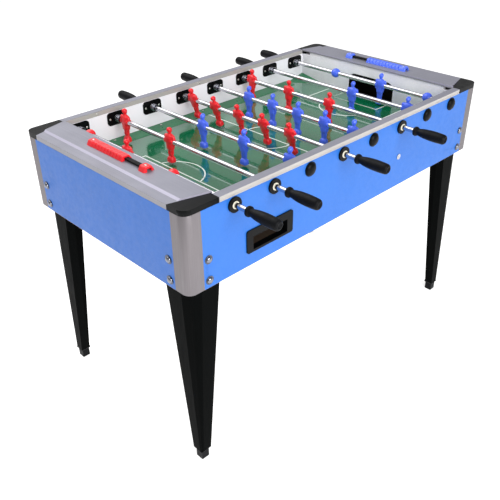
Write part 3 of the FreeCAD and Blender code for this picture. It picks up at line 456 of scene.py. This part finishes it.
# %% Greens, brown and black
field_paint = Finish("glossy_field", (10, 110, 70), 0.16)
field_paint.tint(field_paint.between(field_paint.noise(5, 4), 0.35, 0.7), 0.78)
field_paint.tint(field_paint.between(field_paint.noise(240, 2), 0.45, 0.8, 0, 0.5), 1.2)
field_paint.rough_from(field_paint.noise(11, 3), 0.10, 0.2)
field_paint.bump(field_paint.noise(22, 2), 0.0004, 0.35)
field_shader = field_paint.shader
field_shader.inputs["IOR"].default_value = 1.5
field_shader.inputs["Coat Weight"].default_value = 0.85
field_shader.inputs["Coat Roughness"].default_value = 0.03
field_shader.inputs["Coat IOR"].default_value = 1.7
finishes["green_gloss_field"] = field_paint.done()

finishes["green_ramp_plastic"] = moulded("green_strip", (44, 118, 78), 0.26, 0.4).done()

# painted shade: the return board is a much darker brown than bare board, so the ball slot reads dark
shaded_hardboard = Finish("return_board_brown", (58, 45, 34), 0.62)
shaded_hardboard.tint(shaded_hardboard.between(shaded_hardboard.noise(260, 3, (1, 0.35, 1)), 0.4, 0.7), 0.72)
shaded_hardboard.rough_from(shaded_hardboard.noise(90, 3), 0.55, 0.72)
shaded_hardboard.bump(shaded_hardboard.noise(600, 3), 0.00015)
finishes["board_brown"] = shaded_hardboard.done()

leg_paint = Finish("black_leg_paint", (3, 4, 4), 0.5)
grain = leg_paint.noise(6, 5, (60, 60, 3))
leg_paint.tint(leg_paint.between(grain, 0.45, 0.7), 1.6)
rubbed_edges(leg_paint, 0.6, 2.0)
leg_paint.rough_from(grain, 0.36, 0.56)
leg_paint.bump(grain, 0.0002, 0.6)
leg_paint.shader.inputs["Specular IOR Level"].default_value = 0.02
finishes["black_leg_wood"] = leg_paint.done()
print("finishes ready:", len(finishes))

# %% [markdown]
# ## Dressing the pieces that stay
# Panels, posts, rails, walls, field, legs and bearings already have the right shape. Each gets
# the finish its record names, the posts and leg bolts a finish of their own, and the pieces
# listed below and the feet a very small bevel so that their edges catch a line of light, as
# every sawn or extruded edge does. The weld joins the corners that the file format splits,
# otherwise the bevel would find no edges.

# %% Finish and soft edges
own_finish = {"corner_posts": post_finish, "leg_bolts": bolt_finish}
edge_radius = {
    "near_panel": 0.0005, "goal_walls": 0.0012, "top_rails": 0.0007, "corner_posts": 0.0008,
    "corner_caps": 0.0022, "legs": 0.0014, "ball_slot_frame": 0.0009,
    "field_ramps": 0.0005, "return_board": 0.0006, "wall_plates": 0.0006,
    "bearing_covers": 0.0007, "bearing_rings": 0.0004, "score_bars": 0.0006,
}
slot_of = {part["node"]: part["material_slot"] for part in frame["record"]["subparts"]}


def dress(name, node):
    """Puts the right finish on a CAD node, and soft edges where its shape has sharp ones."""
    finish = own_finish.get(name, finishes[slot_of[name]])
    if not node.material_slots:
        node.data.materials.append(finish)
    for holder in node.material_slots:
        holder.material = finish
    radius = edge_radius.get(name, 0.0008 if name.startswith("foot_") else 0)
    if radius:
        weld = node.modifiers.new("joined_corners", "WELD")
        weld.merge_threshold = 0.00002
        soft = node.modifiers.new("soft_edges", "BEVEL")
        soft.width, soft.segments = radius, 2
        soft.limit_method, soft.angle_limit = "ANGLE", math.radians(35)
        soft.harden_normals = True


for name, node in nodes.items():
    dress(name, node)
print("dressed", len(nodes), "nodes,", sum(bool(n.modifiers) for n in nodes.values()), "with soft edges")

# %% [markdown]
# ## Tools for worked pieces
# The new pieces are turned, extruded or moulded, so three tools are enough: one that spins a
# profile round a line, one that pushes an outline through a few stations, and one that hangs a
# finished mesh on its body in place of the plain node.

# %% Turning and extruding


def turned(bm, profile, start, axis, steps=40):
    """Spins (distance along, radius) pairs round the axis; a radius of 0 closes an end."""
    axis = Vector(axis).normalized()
    across = axis.orthogonal().normalized()
    other = axis.cross(across)
    rings = []
    for along, radius in profile:
        centre = Vector(start) + axis * along
        if radius == 0:
            rings.append([bm.verts.new(centre)])
            continue
        angles = (2 * math.pi * i / steps for i in range(steps))
        rings.append([bm.verts.new(centre + across * radius * math.cos(a) + other * radius * math.sin(a))
                      for a in angles])
    for first, second in zip(rings, rings[1:]):
        for i in range(steps):
            j = (i + 1) % steps
            corners = [first[i % len(first)], first[j % len(first)], second[j % len(second)],
                       second[i % len(second)]]
            kept = list(dict.fromkeys(corners))
            if len(kept) > 2:
                bm.faces.new(kept)


def pushed(bm, sections):
    """Joins equal outlines, each a list of points, into one closed solid."""
    rows = [[bm.verts.new(p) for p in section] for section in sections]
    for first, second in zip(rows, rows[1:]):
        for i in range(len(first)):
            j = (i + 1) % len(first)
            bm.faces.new((first[i], first[j], second[j], second[i]))
    bm.faces.new(list(reversed(rows[0])))
    bm.faces.new(rows[-1])


# %% Hanging a piece on its body


def as_mesh(bm, name, crease=40):
    """A mesh with outward faces, smooth except across creases sharper than the given angle."""
    bmesh.ops.recalc_face_normals(bm, faces=bm.faces)
    mesh = bpy.data.meshes.new(name)
    bm.to_mesh(mesh)
    bm.free()
    mesh.polygons.foreach_set("use_smooth", [True] * len(mesh.polygons))
    mesh.set_sharp_from_angle(angle=math.radians(crease))
    return mesh


def hang(name, mesh, body, slot, replaced=(), finish=None):
    """Places a finished mesh, in the table's own frame, on the body it moves with."""
    piece = bpy.data.objects.new(name, mesh)
    scene.collection.objects.link(piece)
    mesh.materials.clear()
    mesh.materials.append(finish or finishes[slot])
    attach(piece, body)
    if replaced:
        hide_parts(*replaced)
    return piece


def settle(mesh, *steps):
    """Runs modifiers, given as (type, settings), over a mesh and gives back the new mesh."""
    holder = bpy.data.objects.new("workbench", mesh)
    scene.collection.objects.link(holder)
    for kind, settings in steps:
        modifier = holder.modifiers.new(kind.lower(), kind)
        for key, value in settings.items():
            setattr(modifier, key, value)
    shaped = holder.evaluated_get(bpy.context.evaluated_depsgraph_get())
    result = bpy.data.meshes.new_from_object(shaped)
    bpy.data.objects.remove(holder)
    return result


def copied(mesh, places):
    """One mesh that holds the given mesh once at each 4 by 4 matrix."""
    bm = bmesh.new()
    for place in places:
        before = len(bm.verts)
        bm.from_mesh(mesh)
        bm.verts.ensure_lookup_table()
        for vertex in bm.verts[before:]:
            vertex.co = place @ vertex.co
    return bm


MM = 0.001

# %% [markdown]
# ## Players
# Each player is one moulding: head, rolled shoulders, arms on the hips, shorts, two legs side
# by side and a heavy block of a shoe that strikes the ball. Sculpting it face by face would be
# slow; simple limbs are laid over each other, melted into one skin by a voxel remesh, and then
# bored for the rod. The face is a plain mask, as on any toy figure.

# %% Limbs of one player, in millimetres round the rod


def ellipsoid(bm, centre, radii, turn=0.0):
    place = (Matrix.Translation(centre) @ Matrix.Rotation(turn, 4, "Y")
             @ Matrix.Diagonal((*radii, 1)))
    bmesh.ops.create_uvsphere(bm, u_segments=24, v_segments=16, radius=1, matrix=place)


def limb(bm, start, end, first, last, steps=20):
    """A round limb between two joints, with a ball at each."""
    start, end = Vector(start), Vector(end)
    length = (end - start).length
    turned(bm, [(0, 0), (0, first), (length, last), (length, 0)], start, end - start, steps)
    for centre, radius in ((start, first), (end, last)):
        ellipsoid(bm, centre, (radius, radius, radius))


def oval(width, depth, height, shift=0.0, square=2.6, steps=28):
    """A level ring, rounder or squarer as the exponent goes from 2 to 4."""
    ring = []
    for i in range(steps):
        a = 2 * math.pi * i / steps
        c, s = math.cos(a), math.sin(a)
        ring.append(Vector((shift + depth * math.copysign(abs(c) ** (2 / square), c),
                            width * math.copysign(abs(s) ** (2 / square), s), height)))
    return ring


def player_limbs():
    bm = bmesh.new()
    pushed(bm, [oval(*r) for r in (
        (6, 5, 24), (10, 7, 21.5), (16.5, 9.5, 18), (18.5, 11.5, 11), (18, 12.2, 3), (16, 11.6, -5),
        (14.6, 10.6, -12), (14.4, 10.2, -14))])
    pushed(bm, [oval(*r) for r in (
        (14.6, 10.8, -11), (14.8, 10.8, -18), (14, 10.4, -25), (13.2, 10, -28), (12.4, 9.2, -28.6))])
    for side in (-1, 1):
        limb(bm, (-0.5, 17.2 * side, 14), (-1.5, 21.2 * side, -1), 6.4, 4.6)
        limb(bm, (-1.5, 21.2 * side, -1), (4.5, 15.5 * side, -12), 4.4, 3.9)
        limb(bm, (0, 6.0 * side, -20), (0.4, 5.0 * side, -44), 7.2, 5.6)
        limb(bm, (0.2, 5.0 * side, -42), (-0.4, 5.2 * side, -60), 5.4, 5.0)
        ellipsoid(bm, (-1.6, 5.0 * side, -42), (5.6, 4.8, 9))
        ellipsoid(bm, (3.4, 7.0 * side, -65.5), (7.4, 6.6, 6.2))
    pushed(bm, [oval(*r) for r in (
        (5.4, 4.6, -22), (4.6, 4.2, -50), (4.8, 4.4, -58))])
    pushed(bm, [oval(*r, square=4) for r in (
        (8, 6.2, -53), (11.5, 9.2, -57), (13.2, 10.6, -62), (13.9, 10.9, -69), (13.4, 10.6, -72),
        (12.6, 10.0, -72.4))])
    turned(bm, [(0, 0), (0, 9.8), (1.2, 11), (38.8, 11), (40, 9.8), (40, 0)], (0, -20, 0), (0, 1, 0), 32)
    turned(bm, [(0, 0), (0, 5.4), (16, 5.0), (16, 0)], (-0.4, 0, 18), (0.06, 0, 1), 20)
    return bm


def player_head(bm):
    ellipsoid(bm, (0.4, 0, 34.8), (8.6, 7.6, 9.9))
    ellipsoid(bm, (-1.4, 0, 37.2), (8.4, 8.2, 7.7), 0.25)
    ellipsoid(bm, (8.4, 0, 33.4), (1.7, 1.2, 2.4), -0.3)
    ellipsoid(bm, (5.0, 0, 28.8), (3.4, 3.4, 2.4))
    for side in (-1, 1):
        ellipsoid(bm, (-0.4, 7.6 * side, 33.8), (1.8, 1.3, 2.6))
        ellipsoid(bm, (7.1, 2.9 * side, 37.0), (1.6, 2.4, 0.9))


# %% Melt the limbs into one moulding and bore it
ROD_RADIUS = 8.0


def player_mesh():
    bm = player_limbs()
    player_head(bm)
    skin = as_mesh(bm, "player_skin")
    soft = settle(
        skin, ("REMESH", {"mode": "VOXEL", "voxel_size": 0.85}),
        ("SMOOTH", {"factor": 0.5, "iterations": 3}),
        ("DECIMATE", {"ratio": 0.22}))
    drill = bmesh.new()
    turned(drill, [(0, 0), (0, ROD_RADIUS), (80, ROD_RADIUS), (80, 0)], (0, -40, 0), (0, 1, 0), 32)
    drill_piece = bpy.data.objects.new("drill", as_mesh(drill, "drill"))
    scene.collection.objects.link(drill_piece)
    bored = settle(soft, ("BOOLEAN", {"operation": "DIFFERENCE", "object": drill_piece, "solver": "EXACT"}))
    bpy.data.objects.remove(drill_piece)
    return bored


player = player_mesh()
print("one player:", len(player.polygons), "faces")

# %% [markdown]
# ## Stop balls
# The goalkeeper's rod carries two balls that hold the keeper near the goal. They are barrel
# mouldings with a seam round the middle and a flat at each side where the clamping sleeve ends,
# so a turned profile with a groove is truer than a sphere.

# %% One stop ball
BALL = 18.0


def ball_mesh():
    bm = bmesh.new()
    bore = ROD_RADIUS
    profile = [(-15.6, bore), (-16.1, 8.6), (-16.1, 9.8), (-15.2, 10.4)]
    for i in range(19):
        along = -14.4 + 28.8 * i / 18
        groove = 0.7 if abs(along) < 0.9 else 0.0
        profile.append((along, math.sqrt(BALL ** 2 - along ** 2) * 0.995 - groove))
    profile += [(15.2, 10.4), (16.1, 9.8), (16.1, 8.6), (15.6, bore), (-15.6, bore)]
    turned(bm, profile, (0, 0, 0), (0, 1, 0), 40)
    bmesh.ops.remove_doubles(bm, verts=bm.verts, dist=0.001)
    return as_mesh(bm, "stop_ball", 50)


ball = ball_mesh()
print("stop ball:", len(ball.polygons), "faces")

# %% [markdown]
# ## The eight teams of rods
# Where a player or ball sits on its rod comes from the plain node it replaces: its separate
# solids give one box each. Red looks towards +X and blue towards -X, and the rod that leans at
# rest keeps its lean. The facing is kept by turning the moulding half a turn round the upright.

# %% Find the places on a rod


def solid_boxes(node):
    """(low, high) of each separate solid in a node's mesh."""
    bm = bmesh.new()
    bm.from_mesh(node.data)
    bmesh.ops.remove_doubles(bm, verts=bm.verts, dist=0.00002)
    bm.verts.ensure_lookup_table()
    seen, boxes = set(), []
    for start in bm.verts:
        if start.index in seen:
            continue
        seen.add(start.index)
        stack, low, high = [start], start.co.copy(), start.co.copy()
        while stack:
            vertex = stack.pop()
            low = Vector(map(min, low, vertex.co))
            high = Vector(map(max, high, vertex.co))
            for edge in vertex.link_edges:
                other = edge.other_vert(vertex)
                if other.index not in seen:
                    seen.add(other.index)
                    stack.append(other)
        boxes.append((low, high))
    bm.free()
    return boxes


RED_RODS = (1, 2, 4, 6)
NARROWEST_PLAYER = 0.04
LEAN = {4: math.radians(-15)}
rod_axis = {n: next(j["pos_m"] for j in frame["joints"] if j["name"] == "rod%d_turn" % n)
            for n in range(1, 9)}


def rod_places(number):
    """Matrices of the players and of the stop balls on one rod."""
    red = number in RED_RODS
    x, _, z = rod_axis[number]
    men, balls = [], []
    for low, high in solid_boxes(nodes["rod%d_men" % number]):
        middle = (low.y + high.y) / 2
        place = Matrix.Translation((x, middle, z))
        if high.y - low.y < NARROWEST_PLAYER:
            balls.append(place @ Matrix.Scale(MM, 4))
            continue
        place = place @ Matrix.Rotation(LEAN.get(number, 0), 4, "Y")
        if not red:
            place = place @ Matrix.Rotation(math.pi, 4, "Z")
        men.append(place @ Matrix.Scale(MM, 4))
    return men, balls


# %% Put players and balls on every rod
for number in range(1, 9):
    men, balls = rod_places(number)
    bm = copied(player, men)
    slot = "red_team_plastic" if number in RED_RODS else "blue_team_plastic"
    rod, node = "rod%d" % number, "rod%d_men" % number
    hang(rod + "_players", as_mesh(bm, rod + "_players", 60), rod, slot, (node,))
    if balls:
        hang(rod + "_stop_balls", as_mesh(copied(ball, balls), rod + "_stop_balls", 50), rod, slot)
    print(rod, len(men), "players", len(balls), "stop balls")

# %% [markdown]
# ## Grips
# Each grip is moulded over the outer end of the rod: a bead that stops the hand, a narrow neck,
# a long swelling barrel, and a rounded end with a small sunk centre. It is a turning like the
# real mould, and its dull grain comes from the finish.

# %% Turn one grip
BORE, BORE_DEPTH = 8.2, 0.8865
GRIP = (
    (0.000, BORE), (0.000, 10.6), (0.008, 12.4), (0.022, 14.2), (0.045, 15.2), (0.075, 15.2),
    (0.100, 14.2), (0.118, 12.4), (0.140, 11.6), (0.180, 11.7), (0.215, 12.6), (0.270, 13.9),
    (0.350, 15.1), (0.450, 16.1), (0.560, 16.7), (0.680, 16.9), (0.790, 16.7), (0.880, 16.2),
    (0.930, 15.7), (0.958, 14.9), (0.978, 13.6), (0.992, 11.6), (1.000, 9.4), (0.998, 7.8),
    (0.985, 6.9), (0.975, 5.4), (0.973, 0.0))


def grip_mesh(number, low, high):
    outward = 1 if high.y > 0.4 else -1
    length = high.y - low.y
    start = low.y if outward > 0 else high.y
    x, _, z = rod_axis[number]
    bm = bmesh.new()
    profile = [(share * length, radius * MM) for share, radius in GRIP]
    profile.insert(0, (BORE_DEPTH * length, BORE * MM))
    profile.insert(0, (BORE_DEPTH * length, 0.0))
    turned(bm, profile, (x, start, z), (0, outward, 0), 48)
    return as_mesh(bm, "grip", 55)


for number in range(1, 9):
    name = "rod%d_handle" % number
    low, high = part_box(name)
    hang("rod%d_grip" % number, grip_mesh(number, low, high), "rod%d" % number,
         "black_matte_plastic", (name,))

# %% [markdown]
# ## Buffer springs
# A coil spring on the rod softens the blow of a player against the wall. The plain node is a
# sleeve; the real thing is wire. A wire circle swept along a helix, with its last turns lying
# flat, makes the coil.

# %% Wind the springs
WIRE, TURNS, CLOSING = 0.00155, 5.2, 0.35


def helix(centre, mean, low, high, steps=104):
    """Points of a coil along Y; CLOSING says how far its end turns close up."""
    points = []
    for i in range(steps + 1):
        share = i / steps
        eased = share - math.sin(2 * math.pi * share) / (2 * math.pi) * CLOSING
        angle = 2 * math.pi * TURNS * share
        along = low + WIRE + (high - low - 2 * WIRE) * eased
        x, z = centre[0] + mean * math.cos(angle), centre[1] + mean * math.sin(angle)
        points.append(Vector((x, along, z)))
    return points


def wire(bm, points, radius, steps=8):
    """A round wire through the points, closed at both ends."""
    rings = []
    for i, point in enumerate(points):
        ahead = (points[min(i + 1, len(points) - 1)] - points[max(i - 1, 0)]).normalized()
        side = ahead.cross(Vector((0, 1, 0))).normalized()
        up = side.cross(ahead)
        rings.append([point + side * radius * math.cos(2 * math.pi * k / steps)
                      + up * radius * math.sin(2 * math.pi * k / steps) for k in range(steps)])
    pushed(bm, rings)


coils = bmesh.new()
for low, high in solid_boxes(nodes["buffer_springs"]):
    middle = ((low.x + high.x) / 2, (low.z + high.z) / 2)
    mean = (high.x - low.x) / 2 - WIRE - 0.0001
    wire(coils, helix(middle, mean, low.y, high.y), WIRE)
hang("coil_springs", as_mesh(coils, "coil_springs", 60), "root", "chrome_plate", ("buffer_springs",),
     spring_finish)
print("springs wound:", len(solid_boxes(nodes["buffer_springs"])))

# %% [markdown]
# ## Score counters
# Ten ribbed blocks ride on a bar at each end. Every block is an upside-down channel that
# straddles the bar, narrower at its two ends so that a finger finds the gap. The channel is
# pushed along the bar through eight stations, and the end brackets are the same with others.

# %% One counter or bracket


NOTCH_HALF, NOTCH_TALL = 0.0075, 0.0091
COUNTER_GAP = 0.0003
COUNTER = ((0, 0.90), (0.10, 0.975), (0.26, 1.0), (0.42, 0.955), (0.58, 0.955), (0.74, 1.0),
           (0.90, 0.975), (1, 0.90))
BRACKET = ((0, 0.80), (0.05, 0.92), (0.14, 0.985), (0.24, 1.0), (0.76, 1.0), (0.86, 0.985),
           (0.95, 0.92), (1, 0.80))


def channel(y, x, base, top, half, scale):
    """Cross-section of a block at y: narrow rounded crown, wide foot, open below for the bar."""
    tall = top - base
    skin = [(1.0, 0), (0.97, 0.16), (0.70, 0.72), (0.60, 0.90), (0.47, 1.0)]
    outer = [(-wide * half, share * tall) for wide, share in skin]
    outer += [(-px, pz) for px, pz in reversed(outer)]
    shaped = [(px * scale, pz * (0.5 + scale / 2)) for px, pz in outer]
    shaped += [(NOTCH_HALF, 0), (NOTCH_HALF, NOTCH_TALL), (-NOTCH_HALF, NOTCH_TALL), (-NOTCH_HALF, 0)]
    return [Vector((x + px, y, base + pz)) for px, pz in shaped]


def block(bm, low, high, stations, gap=0.0):
    """A counter or a bracket in the box of its plain node, a gap short at each end."""
    x, half = (low.x + high.x) / 2, (high.x - low.x) / 2
    start, length = low.y + gap, high.y - low.y - 2 * gap
    pushed(bm, [channel(start + length * share, x, low.z, high.z, half, scale)
                for share, scale in stations])


# %% Fill the racks
BRACKET_FROM = 0.022
for team in ("red", "blue"):
    slot = team + "_team_plastic"
    rack = bmesh.new()
    for low, high in solid_boxes(nodes[team + "_score_rack"]):
        if high.y - low.y > BRACKET_FROM:
            block(rack, low, high, BRACKET)
        else:
            block(rack, low, high, COUNTER, COUNTER_GAP)
    hang(team + "_score_blocks", as_mesh(rack, team + "_score_blocks", 28), "root", slot,
         (team + "_score_rack",))
    lead = bmesh.new()
    block(lead, *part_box(team + "_score_lead"), COUNTER, COUNTER_GAP)
    hang(team + "_first_counter", as_mesh(lead, team + "_first_counter", 28), team + "_score", slot,
         (team + "_score_lead",))
print("score racks filled")

# %% [markdown]
# ## Small screws
# Pan heads with a cross recess hold the plates, strips, rails and racks. A recess cut by a
# Boolean once, on one head, and then copied to every place keeps the script quick.

# %% Cut one head and copy it
HEAD, RISE = 0.0040, 0.0018


def screw_mesh():
    bm = bmesh.new()
    dome = [(0, 0)] + [(RISE * math.sin(a), HEAD * math.cos(a)) for a in
                       (math.radians(d) for d in (0, 18, 36, 54, 70))] + [(RISE, 0)]
    turned(bm, dome, (0, 0, 0), (0, 0, 1), 24)
    head = as_mesh(bm, "screw_head")
    cross = bmesh.new()
    for turn in (0, math.pi / 2):
        place = (Matrix.Rotation(turn, 4, "Z") @ Matrix.Translation((0, 0, RISE))
                 @ Matrix.Diagonal((HEAD * 1.25, 0.0009, 0.0018, 1)))
        bmesh.ops.create_cube(cross, size=1, matrix=place)
    tool = bpy.data.objects.new("cross_bit", as_mesh(cross, "cross_bit"))
    scene.collection.objects.link(tool)
    cut = settle(head, ("BOOLEAN", {"operation": "DIFFERENCE", "object": tool, "solver": "EXACT",
                                    "use_self": True}))
    bpy.data.objects.remove(tool)
    return cut


def screw_places():
    """A matrix for each head: its foot on the flat side of the plain head, pointing out."""
    places = []
    for low, high in solid_boxes(nodes["small_screws"]):
        middle, size = (low + high) / 2, high - low
        thin = min(range(3), key=lambda i: size[i])
        inward = -1 if thin == 1 and middle.y > 0 else 1
        toward = Vector((0, 0, 0))
        toward[thin] = inward
        foot = middle - toward * size[thin] / 2
        turn = soft_noise(middle * 37) * math.pi
        places.append(Matrix.Translation(foot) @ toward.to_track_quat("Z", "Y").to_matrix().to_4x4()
                      @ Matrix.Rotation(turn, 4, "Z"))
    return places


heads = screw_places()
hang("cross_head_screws", as_mesh(copied(screw_mesh(), heads), "cross_head_screws", 35), "root",
     "zinc_screw", ("small_screws",))
print("screws:", len(heads))

# %% [markdown]
# ## Field lines
# The pitch is marked out like a small football pitch: half-way line, centre circle, and at each
# end a large box, an arc and a goal box. They could be drawn by the finish, but narrow lines
# blur when a finish is baked, so they are laid as a paint film one tenth of a millimetre thick.

# %% Mark out the pitch
FILM, LINE = 0.0001, 0.0044
field_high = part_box("playfield")[1]
LEVEL = field_high.z
STRIP_EDGE = 0.326


def line(bm, points, closed=False, width=LINE):
    """A flat painted line through the points, mitred at its corners."""
    count = len(points)
    rows = []
    for i, (x, y) in enumerate(points):
        before = Vector(points[i - 1]) if i or closed else Vector((x, y))
        after = Vector(points[(i + 1) % count]) if i < count - 1 or closed else Vector((x, y))
        here = Vector((x, y))
        first, second = (here - before).normalized(), (after - here).normalized()
        run = (first + second).normalized() if first.length and second.length else first + second
        reach = width / 2 / max(0.5, run.dot(second if second.length else first))
        side = Vector((-run.y, run.x)) * reach
        rows.append([(here + side), (here - side)])
    if closed:
        rows.append(rows[0])
    for (a, b), (c, d) in zip(rows, rows[1:]):
        low = [bm.verts.new((*p, LEVEL)) for p in (a, b, d, c)]
        high = [bm.verts.new((*p, LEVEL + FILM)) for p in (a, b, d, c)]
        bm.faces.new(high)
        for k in range(4):
            m = (k + 1) % 4
            bm.faces.new((low[k], low[m], high[m], high[k]))


def arc(centre, radius, start, end, steps=48):
    angles = (math.radians(start + (end - start) * i / steps) for i in range(steps + 1))
    return [(centre[0] + radius * math.cos(a), centre[1] + radius * math.sin(a)) for a in angles]


BOX_FRONT, BOX_HALF = 0.397, 0.180
GOAL_BOX_FRONT, GOAL_BOX_HALF = 0.479, 0.107
ARC_AT, ARC_RADIUS, CENTRE_RADIUS = 0.4255, 0.100, 0.100
GOAL_LINE = field_high.x - 0.002
marks = bmesh.new()
line(marks, [(0, -STRIP_EDGE), (0, STRIP_EDGE)])
line(marks, arc((0, 0), CENTRE_RADIUS, 0, 360, 72)[:-1], closed=True)
spread = math.degrees(math.acos((ARC_AT - BOX_FRONT) / ARC_RADIUS))
for end in (-1, 1):
    for front, half in ((BOX_FRONT, BOX_HALF), (GOAL_BOX_FRONT, GOAL_BOX_HALF)):
        line(marks, [(GOAL_LINE * end, half), (front * end, half), (front * end, -half),
                     (GOAL_LINE * end, -half)])
    facing = 180 if end > 0 else 0
    line(marks, arc((ARC_AT * end, 0), ARC_RADIUS, facing - spread, facing + spread))
bmesh.ops.remove_doubles(marks, verts=marks.verts, dist=0.000001)

# %% Paint for the lines
line_paint = Finish("line_paint", (236, 242, 236), 0.3)
line_paint.tint(line_paint.between(line_paint.noise(120, 3), 0.45, 0.7), 0.85)
line_paint.rough_from(line_paint.noise(80, 3), 0.22, 0.36)
line_paint.bump(line_paint.noise(900, 2), 0.00002)
hang("field_lines", as_mesh(marks, "field_lines"), "root", "green_gloss_field",
     finish=line_paint.done())
